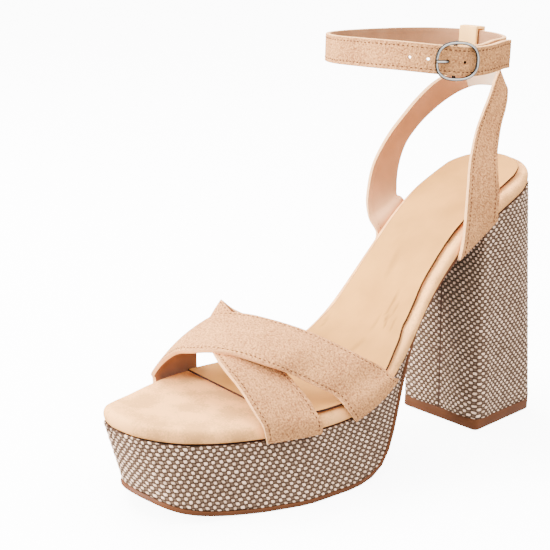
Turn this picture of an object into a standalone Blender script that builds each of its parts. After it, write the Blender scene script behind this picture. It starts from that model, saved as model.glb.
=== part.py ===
"""Heeled sandal, left foot: wrapped platform, block heel, crossed vamp straps, sling and ankle strap.

Frame: the toe points to -Y, the lateral side is +X and the floor is z = 0. Tables are in millimetres
and the meshes are in metres.
"""

import math

import bmesh
import bpy
import numpy as np
from mathutils import Matrix, Vector

MM = 0.001

# Clearances and wall thicknesses (mm)
GAP = 0.3
RAND_HEIGHT = 7.0
SOCK_THICKNESS = 0.8
SOCK_FRONT_Y = -51.0
SOCK_INSET = 4.8
OUTSOLE_THICKNESS = 2.0
TOP_PIECE_HEIGHT = 5.6
STRAP_THICKNESS = 1.8

# The footbed's outer edge, toe to heel. lateral and medial: x of each edge. top: height of the footbed.
FOOTBED = (
    dict(y=-109.0, lateral=-5.5, medial=-5.5, top=43.4),
    dict(y=-106.5, lateral=5.8, medial=-14.8, top=42.7),
    dict(y=-99.0, lateral=13.8, medial=-21.8, top=40.8),
    dict(y=-87.0, lateral=20.4, medial=-29.0, top=38.6),
    dict(y=-72.0, lateral=26.2, medial=-36.2, top=37.4),
    dict(y=-53.0, lateral=31.6, medial=-41.0, top=37.0),
    dict(y=-32.0, lateral=36.0, medial=-39.8, top=37.3),
    dict(y=-9.5, lateral=37.2, medial=-31.6, top=40.2),
    dict(y=13.5, lateral=33.4, medial=-24.2, top=55.0),
    dict(y=36.0, lateral=27.8, medial=-21.2, top=81.0),
    dict(y=57.0, lateral=26.0, medial=-23.0, top=100.2),
    dict(y=75.0, lateral=26.6, medial=-25.8, top=111.0),
    dict(y=90.0, lateral=25.8, medial=-25.6, top=118.3),
    dict(y=101.0, lateral=21.5, medial=-20.8, top=123.0),
    dict(y=107.4, lateral=12.8, medial=-11.6, top=125.5),
    dict(y=110.0, lateral=0.0, medial=0.0, top=126.4),
)

# The outsole's underside from the toe, under the platform and up the waist. z: its height.
OUTSOLE = (
    dict(y=-102.5, z=8.4, lateral=-4.0, medial=-4.0),
    dict(y=-100.0, z=7.5, lateral=9.5, medial=-12.8),
    dict(y=-96.5, z=6.2, lateral=17.4, medial=-17.6),
    dict(y=-92.5, z=4.9, lateral=21.6, medial=-21.6),
    dict(y=-87.5, z=3.6, lateral=24.4, medial=-25.6),
    dict(y=-80.0, z=2.0, lateral=26.6, medial=-30.8),
    dict(y=-70.0, z=0.7, lateral=29.4, medial=-36.6),
    dict(y=-56.0, z=0.0, lateral=33.6, medial=-41.6),
    dict(y=-36.0, z=0.0, lateral=38.0, medial=-43.6),
    dict(y=-19.0, z=0.0, lateral=38.0, medial=-39.4),
    dict(y=-9.0, z=0.5, lateral=37.2, medial=-34.4),
    dict(y=-3.0, z=2.0, lateral=36.4, medial=-31.0),
    dict(y=2.3, z=5.0, lateral=35.6, medial=-28.6),
    dict(y=6.0, z=9.5, lateral=35.0, medial=-27.0),
    dict(y=8.9, z=15.0, lateral=34.2, medial=-25.6),
    dict(y=12.2, z=24.0, lateral=33.2, medial=-24.0),
    dict(y=15.2, z=33.0, lateral=32.0, medial=-22.8),
    dict(y=18.3, z=41.5, lateral=30.8, medial=-21.6),
    dict(y=21.4, z=49.6, lateral=29.8, medial=-20.8),
)
WAIST_STATIONS_Y = (25.5, 30.0, 38.0, 48.0, 63.0)
WAIST_INSET = 1.6
PLATFORM_SETBACK = 0.7
PLATFORM_TOP_SETBACK = 1.2
PLATFORM_TOP_GAP = 0.55
PLATFORM_REAR_Y = 23.0
FLAT_FROM_Y = -56.0
FLAT_TO_Y = -19.0

# Heel block: its bottom rectangle, turned a little about the vertical, and where its breast meets the seat.
HEEL_CENTRE = (1.5, 91.7)
HEEL_WIDTH = 44.8
HEEL_LENGTH = 45.2
HEEL_TURN = math.radians(6.2)
HEEL_FRONT_RADIUS = 2.5
HEEL_BACK_RADIUS = 4.0
HEEL_BREAST_TOP_Y = 67.5
SEAT_INSET = 0.3
HEEL_SIDE_POINTS = 3
TOP_PIECE_PROUD = 0.2
TOP_PIECE_CHAMFER = 0.5

# Vamp straps, lateral foot to medial foot, as the two edges of each outer face. f: front edge. r: rear edge.
OVER_STRAP = (
    dict(fx=35.6, fy=-24.4, fz=42.4, rx=34.6, ry=2.0, rz=49.0),
    dict(fx=30.8, fy=-31.2, fz=47.2, rx=31.4, ry=-6.0, rz=54.6),
    dict(fx=25.6, fy=-37.6, fz=51.2, rx=25.4, ry=-12.2, rz=58.6),
    dict(fx=19.0, fy=-48.2, fz=56.8, rx=18.4, ry=-18.6, rz=62.6),
    dict(fx=9.5, fy=-56.4, fz=60.2, rx=10.0, ry=-24.0, rz=65.4),
    dict(fx=-1.0, fy=-63.8, fz=61.0, rx=0.0, ry=-31.4, rz=68.0),
    dict(fx=-11.0, fy=-67.4, fz=58.4, rx=-9.5, ry=-39.0, rz=69.7),
    dict(fx=-20.5, fy=-68.0, fz=55.2, rx=-17.0, ry=-45.6, rz=69.6),
    dict(fx=-29.0, fy=-68.4, fz=49.6, rx=-25.0, ry=-46.6, rz=65.4),
    dict(fx=-35.8, fy=-68.6, fz=43.2, rx=-33.0, ry=-46.2, rz=58.0),
    dict(fx=-39.6, fy=-68.0, fz=38.8, rx=-39.4, ry=-44.6, rz=47.6),
)
UNDER_STRAP = (
    dict(fx=31.2, fy=-60.8, fz=38.8, rx=35.0, ry=-36.4, rz=39.4),
    dict(fx=27.6, fy=-62.2, fz=43.6, rx=32.0, ry=-36.6, rz=42.4),
    dict(fx=21.0, fy=-63.0, fz=49.6, rx=26.6, ry=-38.2, rz=47.2),
    dict(fx=11.0, fy=-64.6, fz=56.8, rx=16.0, ry=-40.4, rz=54.0),
    dict(fx=0.5, fy=-62.6, fz=59.6, rx=4.0, ry=-42.8, rz=61.0),
    dict(fx=-9.0, fy=-59.0, fz=60.6, rx=-5.0, ry=-43.2, rz=65.0),
    dict(fx=-19.0, fy=-54.2, fz=60.8, rx=-14.4, ry=-42.6, rz=69.2),
    dict(fx=-27.0, fy=-49.0, fz=59.4, rx=-25.2, ry=-41.2, rz=72.4),
    dict(fx=-33.0, fy=-43.0, fz=55.6, rx=-27.4, ry=-33.4, rz=66.4),
    dict(fx=-36.4, fy=-34.6, fz=49.4, rx=-27.4, ry=-23.0, rz=60.4),
    dict(fx=-37.8, fy=-25.4, fz=42.4, rx=-28.4, ry=-9.0, rz=52.2),
)
# Where each strap's foot crosses the rand: y of its two edges at the footbed and at the rand's foot
OVER_LATERAL_FOOT = dict(top_front=-21.8, top_rear=3.6, low_front=-17.6, low_rear=8.6)
OVER_MEDIAL_FOOT = dict(top_front=-66.8, top_rear=-42.2, low_front=-66.4, low_rear=-41.4)
UNDER_LATERAL_FOOT = dict(top_front=-60.2, top_rear=-35.4, low_front=-58.8, low_rear=-35.0)
UNDER_MEDIAL_FOOT = dict(top_front=-22.4, top_rear=3.4, low_front=-17.2, low_rear=8.0)
OVER_BOW = 1.8
UNDER_BOW = 0.4

# The sling, lateral foot to medial foot round the back. f: upper, forward edge. r: lower, rear edge.
SLING = (
    dict(fx=26.9, fy=54.4, fz=105.4, rx=28.5, ry=73.4, rz=110.6),
    dict(fx=25.6, fy=55.9, fz=112.8, rx=27.7, ry=74.2, rz=115.8),
    dict(fx=23.6, fy=58.2, fz=120.2, rx=25.9, ry=75.0, rz=121.4),
    dict(fx=20.6, fy=61.4, fz=127.4, rx=23.8, ry=76.2, rz=126.8),
    dict(fx=17.1, fy=66.6, fz=136.3, rx=20.6, ry=79.0, rz=132.6),
    dict(fx=13.7, fy=72.5, fz=143.4, rx=17.2, ry=83.3, rz=138.2),
    dict(fx=11.4, fy=78.4, fz=150.0, rx=13.6, ry=88.4, rz=144.0),
    dict(fx=8.6, fy=85.0, fz=156.4, rx=10.6, ry=94.0, rz=150.4),
    dict(fx=4.6, fy=92.4, fz=162.8, rx=7.0, ry=99.0, rz=157.4),
    dict(fx=0.4, fy=99.4, fz=167.6, rx=1.6, ry=103.8, rz=158.9),
    dict(fx=-8.5, fy=102.4, fz=169.4, rx=-8.8, ry=106.9, rz=158.6),
    dict(fx=-17.4, fy=98.4, fz=167.6, rx=-18.2, ry=104.2, rz=158.0),
    dict(fx=-23.8, fy=92.8, fz=164.2, rx=-25.4, ry=101.0, rz=154.8),
    dict(fx=-29.0, fy=85.6, fz=158.6, rx=-31.0, ry=96.4, rz=150.0),
    dict(fx=-32.2, fy=78.2, fz=151.2, rx=-35.6, ry=89.8, rz=143.0),
    dict(fx=-34.3, fy=70.6, fz=142.6, rx=-38.0, ry=83.0, rz=135.6),
    dict(fx=-36.4, fy=65.4, fz=135.2, rx=-38.8, ry=78.0, rz=129.0),
    dict(fx=-38.2, fy=61.2, fz=127.4, rx=-38.9, ry=75.3, rz=123.2),
    dict(fx=-38.7, fy=57.4, fz=120.0, rx=-38.6, ry=73.3, rz=116.8),
    dict(fx=-38.1, fy=54.4, fz=111.0, rx=-37.4, ry=71.6, rz=109.8),
    dict(fx=-35.4, fy=51.3, fz=101.6, rx=-35.0, ry=70.2, rz=105.4),
    dict(fx=-31.2, fy=49.7, fz=95.0, rx=-31.4, ry=68.4, rz=103.4),
)
SLING_LATERAL_FOOT = dict(top_front=52.4, top_rear=73.0, low_front=50.6, low_rear=73.4)
SLING_MEDIAL_FOOT = dict(top_front=48.2, top_rear=67.0, low_front=47.0, low_rear=67.6)
SLING_MEDIAL_DROP = 3.4
FOOT_DROP = 0.6

# Ankle strap in plan: the middle of the strap where it lies next to the foot, from the buckle rearwards.
ANKLE = (
    dict(x=29.4, y=37.0),
    dict(x=31.0, y=52.0),
    dict(x=26.6, y=67.6),
    dict(x=17.8, y=80.8),
    dict(x=6.0, y=91.4),
    dict(x=-8.0, y=97.6),
    dict(x=-22.4, y=97.6),
    dict(x=-33.5, y=90.0),
    dict(x=-39.0, y=75.0),
    dict(x=-40.0, y=55.0),
    dict(x=-38.0, y=36.0),
    dict(x=-32.0, y=21.0),
    dict(x=-20.0, y=14.5),
    dict(x=-6.0, y=15.4),
    dict(x=9.0, y=19.4),
    dict(x=21.0, y=26.5),
)
ANKLE_TOP = 183.8
ANKLE_STRAP_WIDTH = 12.0
ANKLE_STRAP_THICKNESS = 2.0
ANKLE_SECTION = 4.2
# Places along the strap in plan, rearwards from the table's first row
BUCKLE_AT = -0.6
BUCKLE_DROP = 0.2
TIP_AT = 30.0
SHORT_END_PAST_BAR = 2.6
LOOP_AT = 88.6
LOOP_LENGTH = 11.4
LOOP_WALL = 1.4
LOOP_EASE = 0.5
# How far the long end stands out from the short end's line, along the strap
LAYERS = (
    dict(at=-70.0, off=0.0),
    dict(at=-12.0, off=4.2),
    dict(at=12.0, off=4.2),
    dict(at=30.0, off=5.0),
)

# Buckle frame and prong
FRAME_HALF_WIDTH = 9.1
FRAME_HALF_HEIGHT = 7.45
FRAME_POWER = 2.5
FRAME_WIRE_RADIUS = 0.8
FRAME_STAND_OFF = 5.2
BAR_RADIUS = 0.8
BAR_DEPTH = 2.1
PRONG_RADIUS = 0.7
PRONG_HOLE_ALONG = -4.2
HOLE_PITCH = 7.6
HOLE_RADIUS = 0.9
PRONG_HOLE_RADIUS = 1.15
HOLES = (-2, -1, 0, 1)

# Numbers of divisions
AROUND_SIDE = 42
SOLE_STATIONS = 40
CORNER_STEPS = 4

MATERIALS = {
    "suede": dict(color=(0.80, 0.62, 0.48, 1.0), roughness=0.9, metallic=0.0),
    "sock": dict(color=(0.83, 0.68, 0.54, 1.0), roughness=0.6, metallic=0.0),
    "woven": dict(color=(0.50, 0.43, 0.37, 1.0), roughness=0.85, metallic=0.0),
    "rubber": dict(color=(0.48, 0.22, 0.08, 1.0), roughness=0.55, metallic=0.0),
    "metal": dict(color=(0.75, 0.75, 0.74, 1.0), roughness=0.2, metallic=1.0),
}


def clear_scene():
    """Remove every object of the scene."""
    for obj in list(bpy.data.objects):
        bpy.data.objects.remove(obj, do_unlink=True)


def material(slot, node):
    """A Principled material with the slot's finish, one for each node."""
    finish = MATERIALS[slot]
    mat = bpy.data.materials.new(node + "_" + slot)
    mat.use_nodes = True
    shader = mat.node_tree.nodes["Principled BSDF"]
    shader.inputs["Base Color"].default_value = finish["color"]
    shader.inputs["Roughness"].default_value = finish["roughness"]
    shader.inputs["Metallic"].default_value = finish["metallic"]
    return mat


def smooth(knots, values):
    """A monotone cubic through the knots (Fritsch-Carlson), as a function."""
    knots = np.asarray(knots, float)
    values = np.asarray(values, float)
    step = np.diff(knots)
    slope = np.diff(values) / step
    tangent = np.zeros(len(knots))
    tangent[0] = slope[0]
    tangent[-1] = slope[-1]
    for i in range(1, len(slope)):
        if slope[i - 1] * slope[i] > 0.0:
            left = 2.0 * step[i] + step[i - 1]
            right = step[i] + 2.0 * step[i - 1]
            tangent[i] = (left + right) / (left / slope[i - 1] + right / slope[i])

    def value(at):
        at = np.clip(np.asarray(at, float), knots[0], knots[-1])
        i = np.clip(np.searchsorted(knots, at) - 1, 0, len(step) - 1)
        t = (at - knots[i]) / step[i]
        low = (1.0 + 2.0 * t) * (1.0 - t) ** 2 * values[i] + t * (1.0 - t) ** 2 * step[i] * tangent[i]
        high = t * t * (3.0 - 2.0 * t) * values[i + 1] + t * t * (t - 1.0) * step[i] * tangent[i + 1]
        return low + high

    return value


def column(table, name):
    """One named column of a table."""
    return np.array([row[name] for row in table], float)


FOOT_Y = column(FOOTBED, "y")
FOOT_TURN = np.arccos(np.clip(1.0 - 2.0 * (FOOT_Y - FOOT_Y[0]) / (FOOT_Y[-1] - FOOT_Y[0]), -1.0, 1.0))
footbed_lateral = smooth(FOOT_TURN, column(FOOTBED, "lateral"))
footbed_medial = smooth(FOOT_TURN, column(FOOTBED, "medial"))
footbed_top = smooth(FOOT_Y, column(FOOTBED, "top"))


def turn_of(y):
    """The station angle of y: 0 at the toe, pi at the heel, evenly round at both ends."""
    part = (np.asarray(y, float) - FOOT_Y[0]) / (FOOT_Y[-1] - FOOT_Y[0])
    return np.arccos(np.clip(1.0 - 2.0 * part, -1.0, 1.0))


def y_of(turn):
    """The y of a station angle."""
    return FOOT_Y[0] + (FOOT_Y[-1] - FOOT_Y[0]) * (1.0 - np.cos(turn)) / 2.0


def lateral_at(y):
    """x of the footbed's lateral edge."""
    return footbed_lateral(turn_of(y))


def medial_at(y):
    """x of the footbed's medial edge."""
    return footbed_medial(turn_of(y))


def inward(points):
    """Unit normals in plan, pointing into a closed loop that runs lateral side first, toe to heel."""
    ahead = np.roll(points, -1, axis=0)
    behind = np.roll(points, 1, axis=0)
    run = ahead - behind
    run /= np.linalg.norm(run, axis=1)[:, None]
    return np.stack([-run[:, 1], run[:, 0]], axis=1)


def inset_loop(points, distance):
    """A closed plan loop moved inwards."""
    return points + inward(points) * distance


def footbed_loop(first=0.0):
    """The footbed's plan loop from a station angle: lateral side out to the heel, medial side back."""
    turns = np.linspace(0.0, math.pi, AROUND_SIDE + 1)
    if first > 0.0:
        turns = np.concatenate([[first], turns[turns > first + 0.03]])
    lateral = np.stack([footbed_lateral(turns), y_of(turns)], axis=1)
    medial = np.stack([footbed_medial(turns), y_of(turns)], axis=1)[::-1][1:]
    if first <= 0.0:
        medial = medial[:-1]
    return np.concatenate([lateral, medial])


def mesh_object(name, bm, slot):
    """Finish a bmesh in millimetres as an object in metres with outward faces."""
    bmesh.ops.remove_doubles(bm, verts=bm.verts, dist=0.0005)
    bmesh.ops.recalc_face_normals(bm, faces=bm.faces)
    bmesh.ops.scale(bm, vec=(MM, MM, MM), verts=bm.verts)
    mesh = bpy.data.meshes.new(name)
    bm.to_mesh(mesh)
    bm.free()
    mesh.shade_smooth()
    mesh.set_sharp_from_angle(angle=math.radians(40.0))
    obj = bpy.data.objects.new(name, mesh)
    obj.data.materials.append(material(slot, name))
    bpy.context.scene.collection.objects.link(obj)
    return obj


def heel_pairs(count, closed_toe):
    """Facing pairs of a footbed loop, toe to heel, with its tips on their own."""
    if closed_toe:
        return [(k, (count - k) % count) for k in range(count // 2 + 1)]
    return [(k, count - 1 - k) for k in range(count // 2 + 1)]


def cap(bm, ring, pairs):
    """Close a ring with strips between the points that face each other across it."""
    rows = [(ring[a],) if a == b else (ring[a], ring[b]) for a, b in pairs]
    for near, far in zip(rows, rows[1:]):
        bm.faces.new(near + far[::-1])


def bridge(bm, rings):
    """Join rings of equal length with quads."""
    for low, high in zip(rings, rings[1:]):
        count = len(low)
        for i in range(count):
            j = (i + 1) % count
            bm.faces.new((low[i], low[j], high[j], high[i]))


def slab(name, rings, pairs, slot):
    """A closed slab: rings of points from its lower cap to its upper cap."""
    bm = bmesh.new()
    made = [[bm.verts.new(p) for p in ring] for ring in rings]
    bridge(bm, made)
    cap(bm, made[0], pairs)
    cap(bm, made[-1], pairs)
    return mesh_object(name, bm, slot)


def raised(plan, heights):
    """Points of a plan loop at the given heights."""
    return np.column_stack([plan, heights])


RAND_PROFILE = (
    dict(inset=1.6, drop=RAND_HEIGHT),
    dict(inset=0.4, drop=RAND_HEIGHT - 1.0),
    dict(inset=0.0, drop=RAND_HEIGHT * 0.55),
    dict(inset=0.5, drop=1.7),
    dict(inset=1.7, drop=0.45),
    dict(inset=3.6, drop=0.0),
)


def build_insole():
    """Suede-wrapped footbed board with its rounded rand edge."""
    plan = footbed_loop()
    rings = []
    for step in RAND_PROFILE:
        moved = inset_loop(plan, step["inset"])
        rings.append(raised(moved, footbed_top(moved[:, 1]) - step["drop"]))
    return slab("insole", rings, heel_pairs(len(plan), True), "suede")


def build_sock():
    """Thin sock lining on the footbed, from under the vamp to the heel."""
    rim = inset_loop(footbed_loop(), RAND_PROFILE[-1]["inset"])
    order = rim[:AROUND_SIDE + 1, 1]
    plan = footbed_loop(first=float(turn_of(SOCK_FRONT_Y)))
    moved = plan + open_inward(plan) * SOCK_INSET
    base = np.interp(moved[:, 1], order, footbed_top(order)) + GAP
    upper = moved + open_inward(moved) * 0.4
    rings = [raised(moved, base), raised(upper, base + SOCK_THICKNESS)]
    return slab("sock_lining", rings, heel_pairs(len(plan), False), "sock")


def open_inward(points):
    """Inward normals of a loop whose front is a straight edge: its two front corners stay square."""
    normal = inward(points)
    normal[0] = (-1.0, 0.0)
    normal[-1] = (1.0, 0.0)
    return normal


def sole_profile():
    """Outsole underside up to the breast: the table, then a line under the footbed up the waist."""
    rows = [dict(row) for row in OUTSOLE]
    for y in WAIST_STATIONS_Y:
        slope = float(footbed_top(y + 1.0) - footbed_top(y - 1.0)) / 2.0
        under = float(footbed_top(y)) - RAND_HEIGHT - (GAP + OUTSOLE_THICKNESS) * math.hypot(1.0, slope)
        lateral = float(lateral_at(y)) - WAIST_INSET
        medial = float(medial_at(y)) + WAIST_INSET
        rows.append(dict(y=y, z=under, lateral=lateral, medial=medial))
    return rows


def sole_stations():
    """The outsole's stations from toe to breast: y, z, lateral x, medial x and the way up into the sole."""
    rows = sole_profile()
    y = column(rows, "y")
    z = column(rows, "z")
    run = np.concatenate([[0.0], np.cumsum(np.hypot(np.diff(y), np.diff(z)))])
    root = np.sqrt(run)
    at = np.linspace(0.0, root[-1], SOLE_STATIONS + 1)
    ys = smooth(run, y)(at ** 2)
    zs = smooth(run, z)(at ** 2)
    zs[(ys > FLAT_FROM_Y) & (ys < FLAT_TO_Y)] = 0.0
    dy = np.gradient(ys)
    dz = np.gradient(zs)
    up = np.stack([-dz, dy], axis=1) / np.hypot(dy, dz)[:, None]
    lateral = smooth(root, column(rows, "lateral"))(at)
    medial = smooth(root, column(rows, "medial"))(at)
    return ys, zs, lateral, medial, up


def build_outsole():
    """Thin rubber outsole: flat under the forefoot, with toe spring, carried up the waist to the heel."""
    ys, zs, lateral, medial, up = sole_stations()
    rings = []
    for inset, rise in ((0.5, 0.0), (0.0, 0.5), (0.0, OUTSOLE_THICKNESS)):
        rings.append(two_sided(lateral - inset, medial + inset, ys + up[:, 0] * rise, zs + up[:, 1] * rise))
    return slab("outsole", rings, facing(SOLE_STATIONS), "rubber")


def two_sided(lateral, medial, ys, zs):
    """A ring from a tip along the lateral side and back along the medial side, both at the same y and z."""
    tip = [((lateral[0] + medial[0]) / 2.0, ys[0], zs[0])]
    out = list(zip(lateral[1:], ys[1:], zs[1:]))
    back = list(zip(medial[1:], ys[1:], zs[1:]))[::-1]
    return np.array(tip + out + back)


def facing(side):
    """Facing pairs of a two-sided ring with a tip at its front and a straight rear."""
    count = 2 * side + 1
    return [(k, (count - k) % count) for k in range(side + 1)]


def build_platform():
    """Fabric-covered platform between the footbed and the outsole, thinning to nothing at the waist."""
    ys, zs, lateral, medial, up = sole_stations()
    last = int(np.argmax(ys > PLATFORM_REAR_Y)) - 1
    stand = OUTSOLE_THICKNESS + GAP
    low_y = (ys + up[:, 0] * stand)[:last + 1]
    low_z = (zs + up[:, 1] * stand)[:last + 1]
    low_lateral = lateral[:last + 1] - PLATFORM_SETBACK
    low_medial = medial[:last + 1] + PLATFORM_SETBACK
    low = two_sided(low_lateral, low_medial, low_y, low_z)
    bottom = inset_loop(footbed_loop(), RAND_PROFILE[0]["inset"])[:AROUND_SIDE + 1, 1]
    high_y = y_of(np.linspace(0.0, float(turn_of(low_y[-1])), last + 1))
    high_y[0] += PLATFORM_SETBACK
    high_z = np.interp(high_y, bottom, footbed_top(bottom)) - RAND_HEIGHT - PLATFORM_TOP_GAP
    high_lateral = lateral_at(high_y) - PLATFORM_TOP_SETBACK
    high_medial = medial_at(high_y) + PLATFORM_TOP_SETBACK
    high = two_sided(high_lateral, high_medial, high_y, high_z)
    rings = [low + (high - low) * part for part in (0.0, 0.5, 1.0)]
    return slab("platform", rings, facing(last), "woven")


def rounded_rectangle(width, length, front_radius, back_radius):
    """Points round a rectangle from its front lateral corner to the back and the front medial corner."""
    half_w = width / 2.0
    half_l = length / 2.0
    points = []
    for s in range(CORNER_STEPS + 1):
        a = math.radians(-90.0 + 90.0 * s / CORNER_STEPS)
        points.append((half_w - front_radius + front_radius * math.cos(a),
                       -half_l + front_radius + front_radius * math.sin(a)))
    straight = length - front_radius - back_radius
    for s in range(HEEL_SIDE_POINTS):
        points.append((half_w, -half_l + front_radius + straight * (s + 1) / (HEEL_SIDE_POINTS + 1)))
    for s in range(CORNER_STEPS + 1):
        a = math.radians(90.0 * s / CORNER_STEPS)
        points.append((half_w - back_radius + back_radius * math.cos(a),
                       half_l - back_radius + back_radius * math.sin(a)))
    points.append((half_w * 0.33, half_l))
    mirrored = [(-x, y) for x, y in reversed(points)]
    return np.array(points + mirrored)


def heel_foot_loop(grow=0.0):
    """The heel's bottom outline in plan."""
    loop = rounded_rectangle(HEEL_WIDTH + grow, HEEL_LENGTH + grow, HEEL_FRONT_RADIUS, HEEL_BACK_RADIUS)
    c = math.cos(HEEL_TURN)
    s = math.sin(HEEL_TURN)
    x = HEEL_CENTRE[0] + loop[:, 0] * c - loop[:, 1] * s
    y = HEEL_CENTRE[1] + loop[:, 0] * s + loop[:, 1] * c
    return np.stack([x, y], axis=1)


def heel_seat_loop(reference):
    """The heel's top outline under the seat, with one point for each of the reference loop's."""
    ys = y_of(np.linspace(float(turn_of(HEEL_BREAST_TOP_Y)), math.pi, 40))
    lateral = np.stack([lateral_at(ys), ys], axis=1)
    medial = np.stack([medial_at(ys), ys], axis=1)[::-1][1:]
    rim = np.concatenate([lateral, medial])
    rim = rim + edge_normals(rim) * SEAT_INSET
    run = np.concatenate([[0.0], np.cumsum(np.linalg.norm(np.diff(rim, axis=0), axis=1))])
    around = reference[CORNER_STEPS:-CORNER_STEPS]
    along = np.concatenate([[0.0], np.cumsum(np.linalg.norm(np.diff(around, axis=0), axis=1))])
    share = along / along[-1] * run[-1]
    body = np.stack([np.interp(share, run, rim[:, c]) for c in (0, 1)], axis=1)
    across = body[-1] - body[0]
    steps = (np.arange(CORNER_STEPS) + 1.0)[:, None] / (CORNER_STEPS + 1.0) * 0.03
    return np.concatenate([body[0] + across * steps[::-1], body, body[-1] - across * steps])


def edge_normals(points):
    """Inward plan normals along an open line that runs lateral side first."""
    run = np.gradient(points, axis=0)
    run /= np.linalg.norm(run, axis=1)[:, None]
    return np.stack([-run[:, 1], run[:, 0]], axis=1)


def build_heel():
    """Block heel with a flat breast, its back turning from square at the floor to round at the seat."""
    foot = heel_foot_loop()
    seat = heel_seat_loop(foot)
    top = footbed_top(seat[:, 1]) - RAND_HEIGHT - GAP
    bottom = TOP_PIECE_HEIGHT + GAP
    bm = bmesh.new()
    rings = []
    for part in (0.0, 0.17, 0.34, 0.5, 0.67, 0.84, 1.0):
        ring = []
        for (fx, fy), (sx, sy), z in zip(foot, seat, top):
            height = bottom + (z - bottom) * part
            ring.append(bm.verts.new((fx + (sx - fx) * part, fy + (sy - fy) * part, height)))
        rings.append(ring)
    bridge(bm, rings)
    for ring in (rings[0], rings[-1]):
        count = len(ring)
        for k in range(count // 2 - 1):
            bm.faces.new((ring[k], ring[k + 1], ring[count - 2 - k], ring[count - 1 - k]))
    return mesh_object("heel_block", bm, "woven")


def build_top_piece():
    """Rubber top piece under the heel."""
    loop = heel_foot_loop(2.0 * TOP_PIECE_PROUD)
    inner = heel_foot_loop(2.0 * (TOP_PIECE_PROUD - TOP_PIECE_CHAMFER))
    rings = ((inner, 0.0), (loop, TOP_PIECE_CHAMFER), (loop, TOP_PIECE_HEIGHT))
    bm = bmesh.new()
    made = [[bm.verts.new((x, y, z)) for x, y in plan] for plan, z in rings]
    bridge(bm, made)
    for ring in (made[0], made[-1]):
        count = len(ring)
        for k in range(count // 2 - 1):
            bm.faces.new((ring[k], ring[k + 1], ring[count - 2 - k], ring[count - 1 - k]))
    return mesh_object("top_piece", bm, "rubber")


def foot_row(side, foot, level, drop):
    """A strap's row on the rand's outer face, drop mm under the footbed. side: 1 lateral, -1 medial."""
    edge = lateral_at if side > 0 else medial_at
    row = {}
    for key, name in (("f", "_front"), ("r", "_rear")):
        y = foot[level + name]
        row[key + "x"] = float(edge(y)) + side * (GAP + STRAP_THICKNESS)
        row[key + "y"] = y
        row[key + "z"] = float(footbed_top(y)) - drop
    return row


def strap(name, table, lateral_foot, medial_foot, bow, sections, across, medial_drop=FOOT_DROP):
    """A strap from rand to rand through a table of its outer face's two edges."""
    rows = [foot_row(1, lateral_foot, "low", RAND_HEIGHT), foot_row(1, lateral_foot, "top", FOOT_DROP)]
    rows += list(table)
    rows += [foot_row(-1, medial_foot, "top", medial_drop), foot_row(-1, medial_foot, "low", RAND_HEIGHT)]
    front = np.array([(r["fx"], r["fy"], r["fz"]) for r in rows])
    rear = np.array([(r["rx"], r["ry"], r["rz"]) for r in rows])
    middle = (front + rear) / 2.0
    run = np.concatenate([[0.0], np.cumsum(np.linalg.norm(np.diff(middle, axis=0), axis=1))])
    at = np.concatenate([[0.0], np.linspace(run[1], run[-2], sections), [run[-1]]])
    edges = [np.stack([spline(run, edge[:, c])(at) for c in range(3)], axis=1) for edge in (front, rear)]
    return band(name, edges[0], edges[1], STRAP_THICKNESS, bow, across)


def hide_helper(obj):
    """Mark an object as a cutter or a joined part that isn't a piece of its own."""
    obj.hide_render = True
    obj.display_type = "WIRE"


def boolean(target, other, operation):
    """Add an exact Boolean with another object."""
    mod = target.modifiers.new(operation.lower() + "_" + other.name, "BOOLEAN")
    mod.operation = operation
    mod.solver = "EXACT"
    mod.object = other
    hide_helper(other)


def build_vamp():
    """Crossed vamp straps joined where they cross."""
    under = strap("vamp_straps", UNDER_STRAP, UNDER_LATERAL_FOOT, UNDER_MEDIAL_FOOT, UNDER_BOW, 30, 5)
    over = strap("vamp_over_strap", OVER_STRAP, OVER_LATERAL_FOOT, OVER_MEDIAL_FOOT, OVER_BOW, 32, 6)
    boolean(under, over, "UNION")
    return under


def band(name, front, rear, thickness, bow, across):
    """A band of even thickness, given as its outer face's two edges, bowed outwards by bow at its middle."""
    run = np.gradient((front + rear) / 2.0, axis=0)
    normal = np.cross(rear - front, run)
    normal /= np.linalg.norm(normal, axis=1)[:, None]
    bm = bmesh.new()
    rings = []
    for f, r, n in zip(front, rear, normal):
        outer = []
        for step in range(across + 1):
            t = step / across
            outer.append(f + (r - f) * t + n * bow * 4.0 * t * (1.0 - t))
        inner = [p - n * thickness for p in outer]
        rings.append([bm.verts.new(p) for p in outer + inner[::-1]])
    bridge(bm, rings)
    count = 2 * across + 2
    for ring in (rings[0], rings[-1]):
        for k in range(across):
            bm.faces.new((ring[k], ring[k + 1], ring[count - 2 - k], ring[count - 1 - k]))
    return mesh_object(name, bm, "suede")


def build_sling():
    """Sling: both quarters in one band round the back of the foot."""
    return strap("sling", SLING, SLING_LATERAL_FOOT, SLING_MEDIAL_FOOT, 0.0, 56, 2, SLING_MEDIAL_DROP)


def spline(knots, values):
    """A smooth interpolation with Catmull-Rom tangents."""
    knots = np.asarray(knots, float)
    values = np.asarray(values, float)
    tangent = np.gradient(values, knots)

    def value(at):
        at = np.clip(np.asarray(at, float), knots[0], knots[-1])
        i = np.clip(np.searchsorted(knots, at) - 1, 0, len(knots) - 2)
        step = knots[i + 1] - knots[i]
        t = (at - knots[i]) / step
        low = (1.0 + 2.0 * t) * (1.0 - t) ** 2 * values[i] + t * (1.0 - t) ** 2 * step * tangent[i]
        high = t * t * (3.0 - 2.0 * t) * values[i + 1] + t * t * (t - 1.0) * step * tangent[i + 1]
        return low + high

    return value


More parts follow.
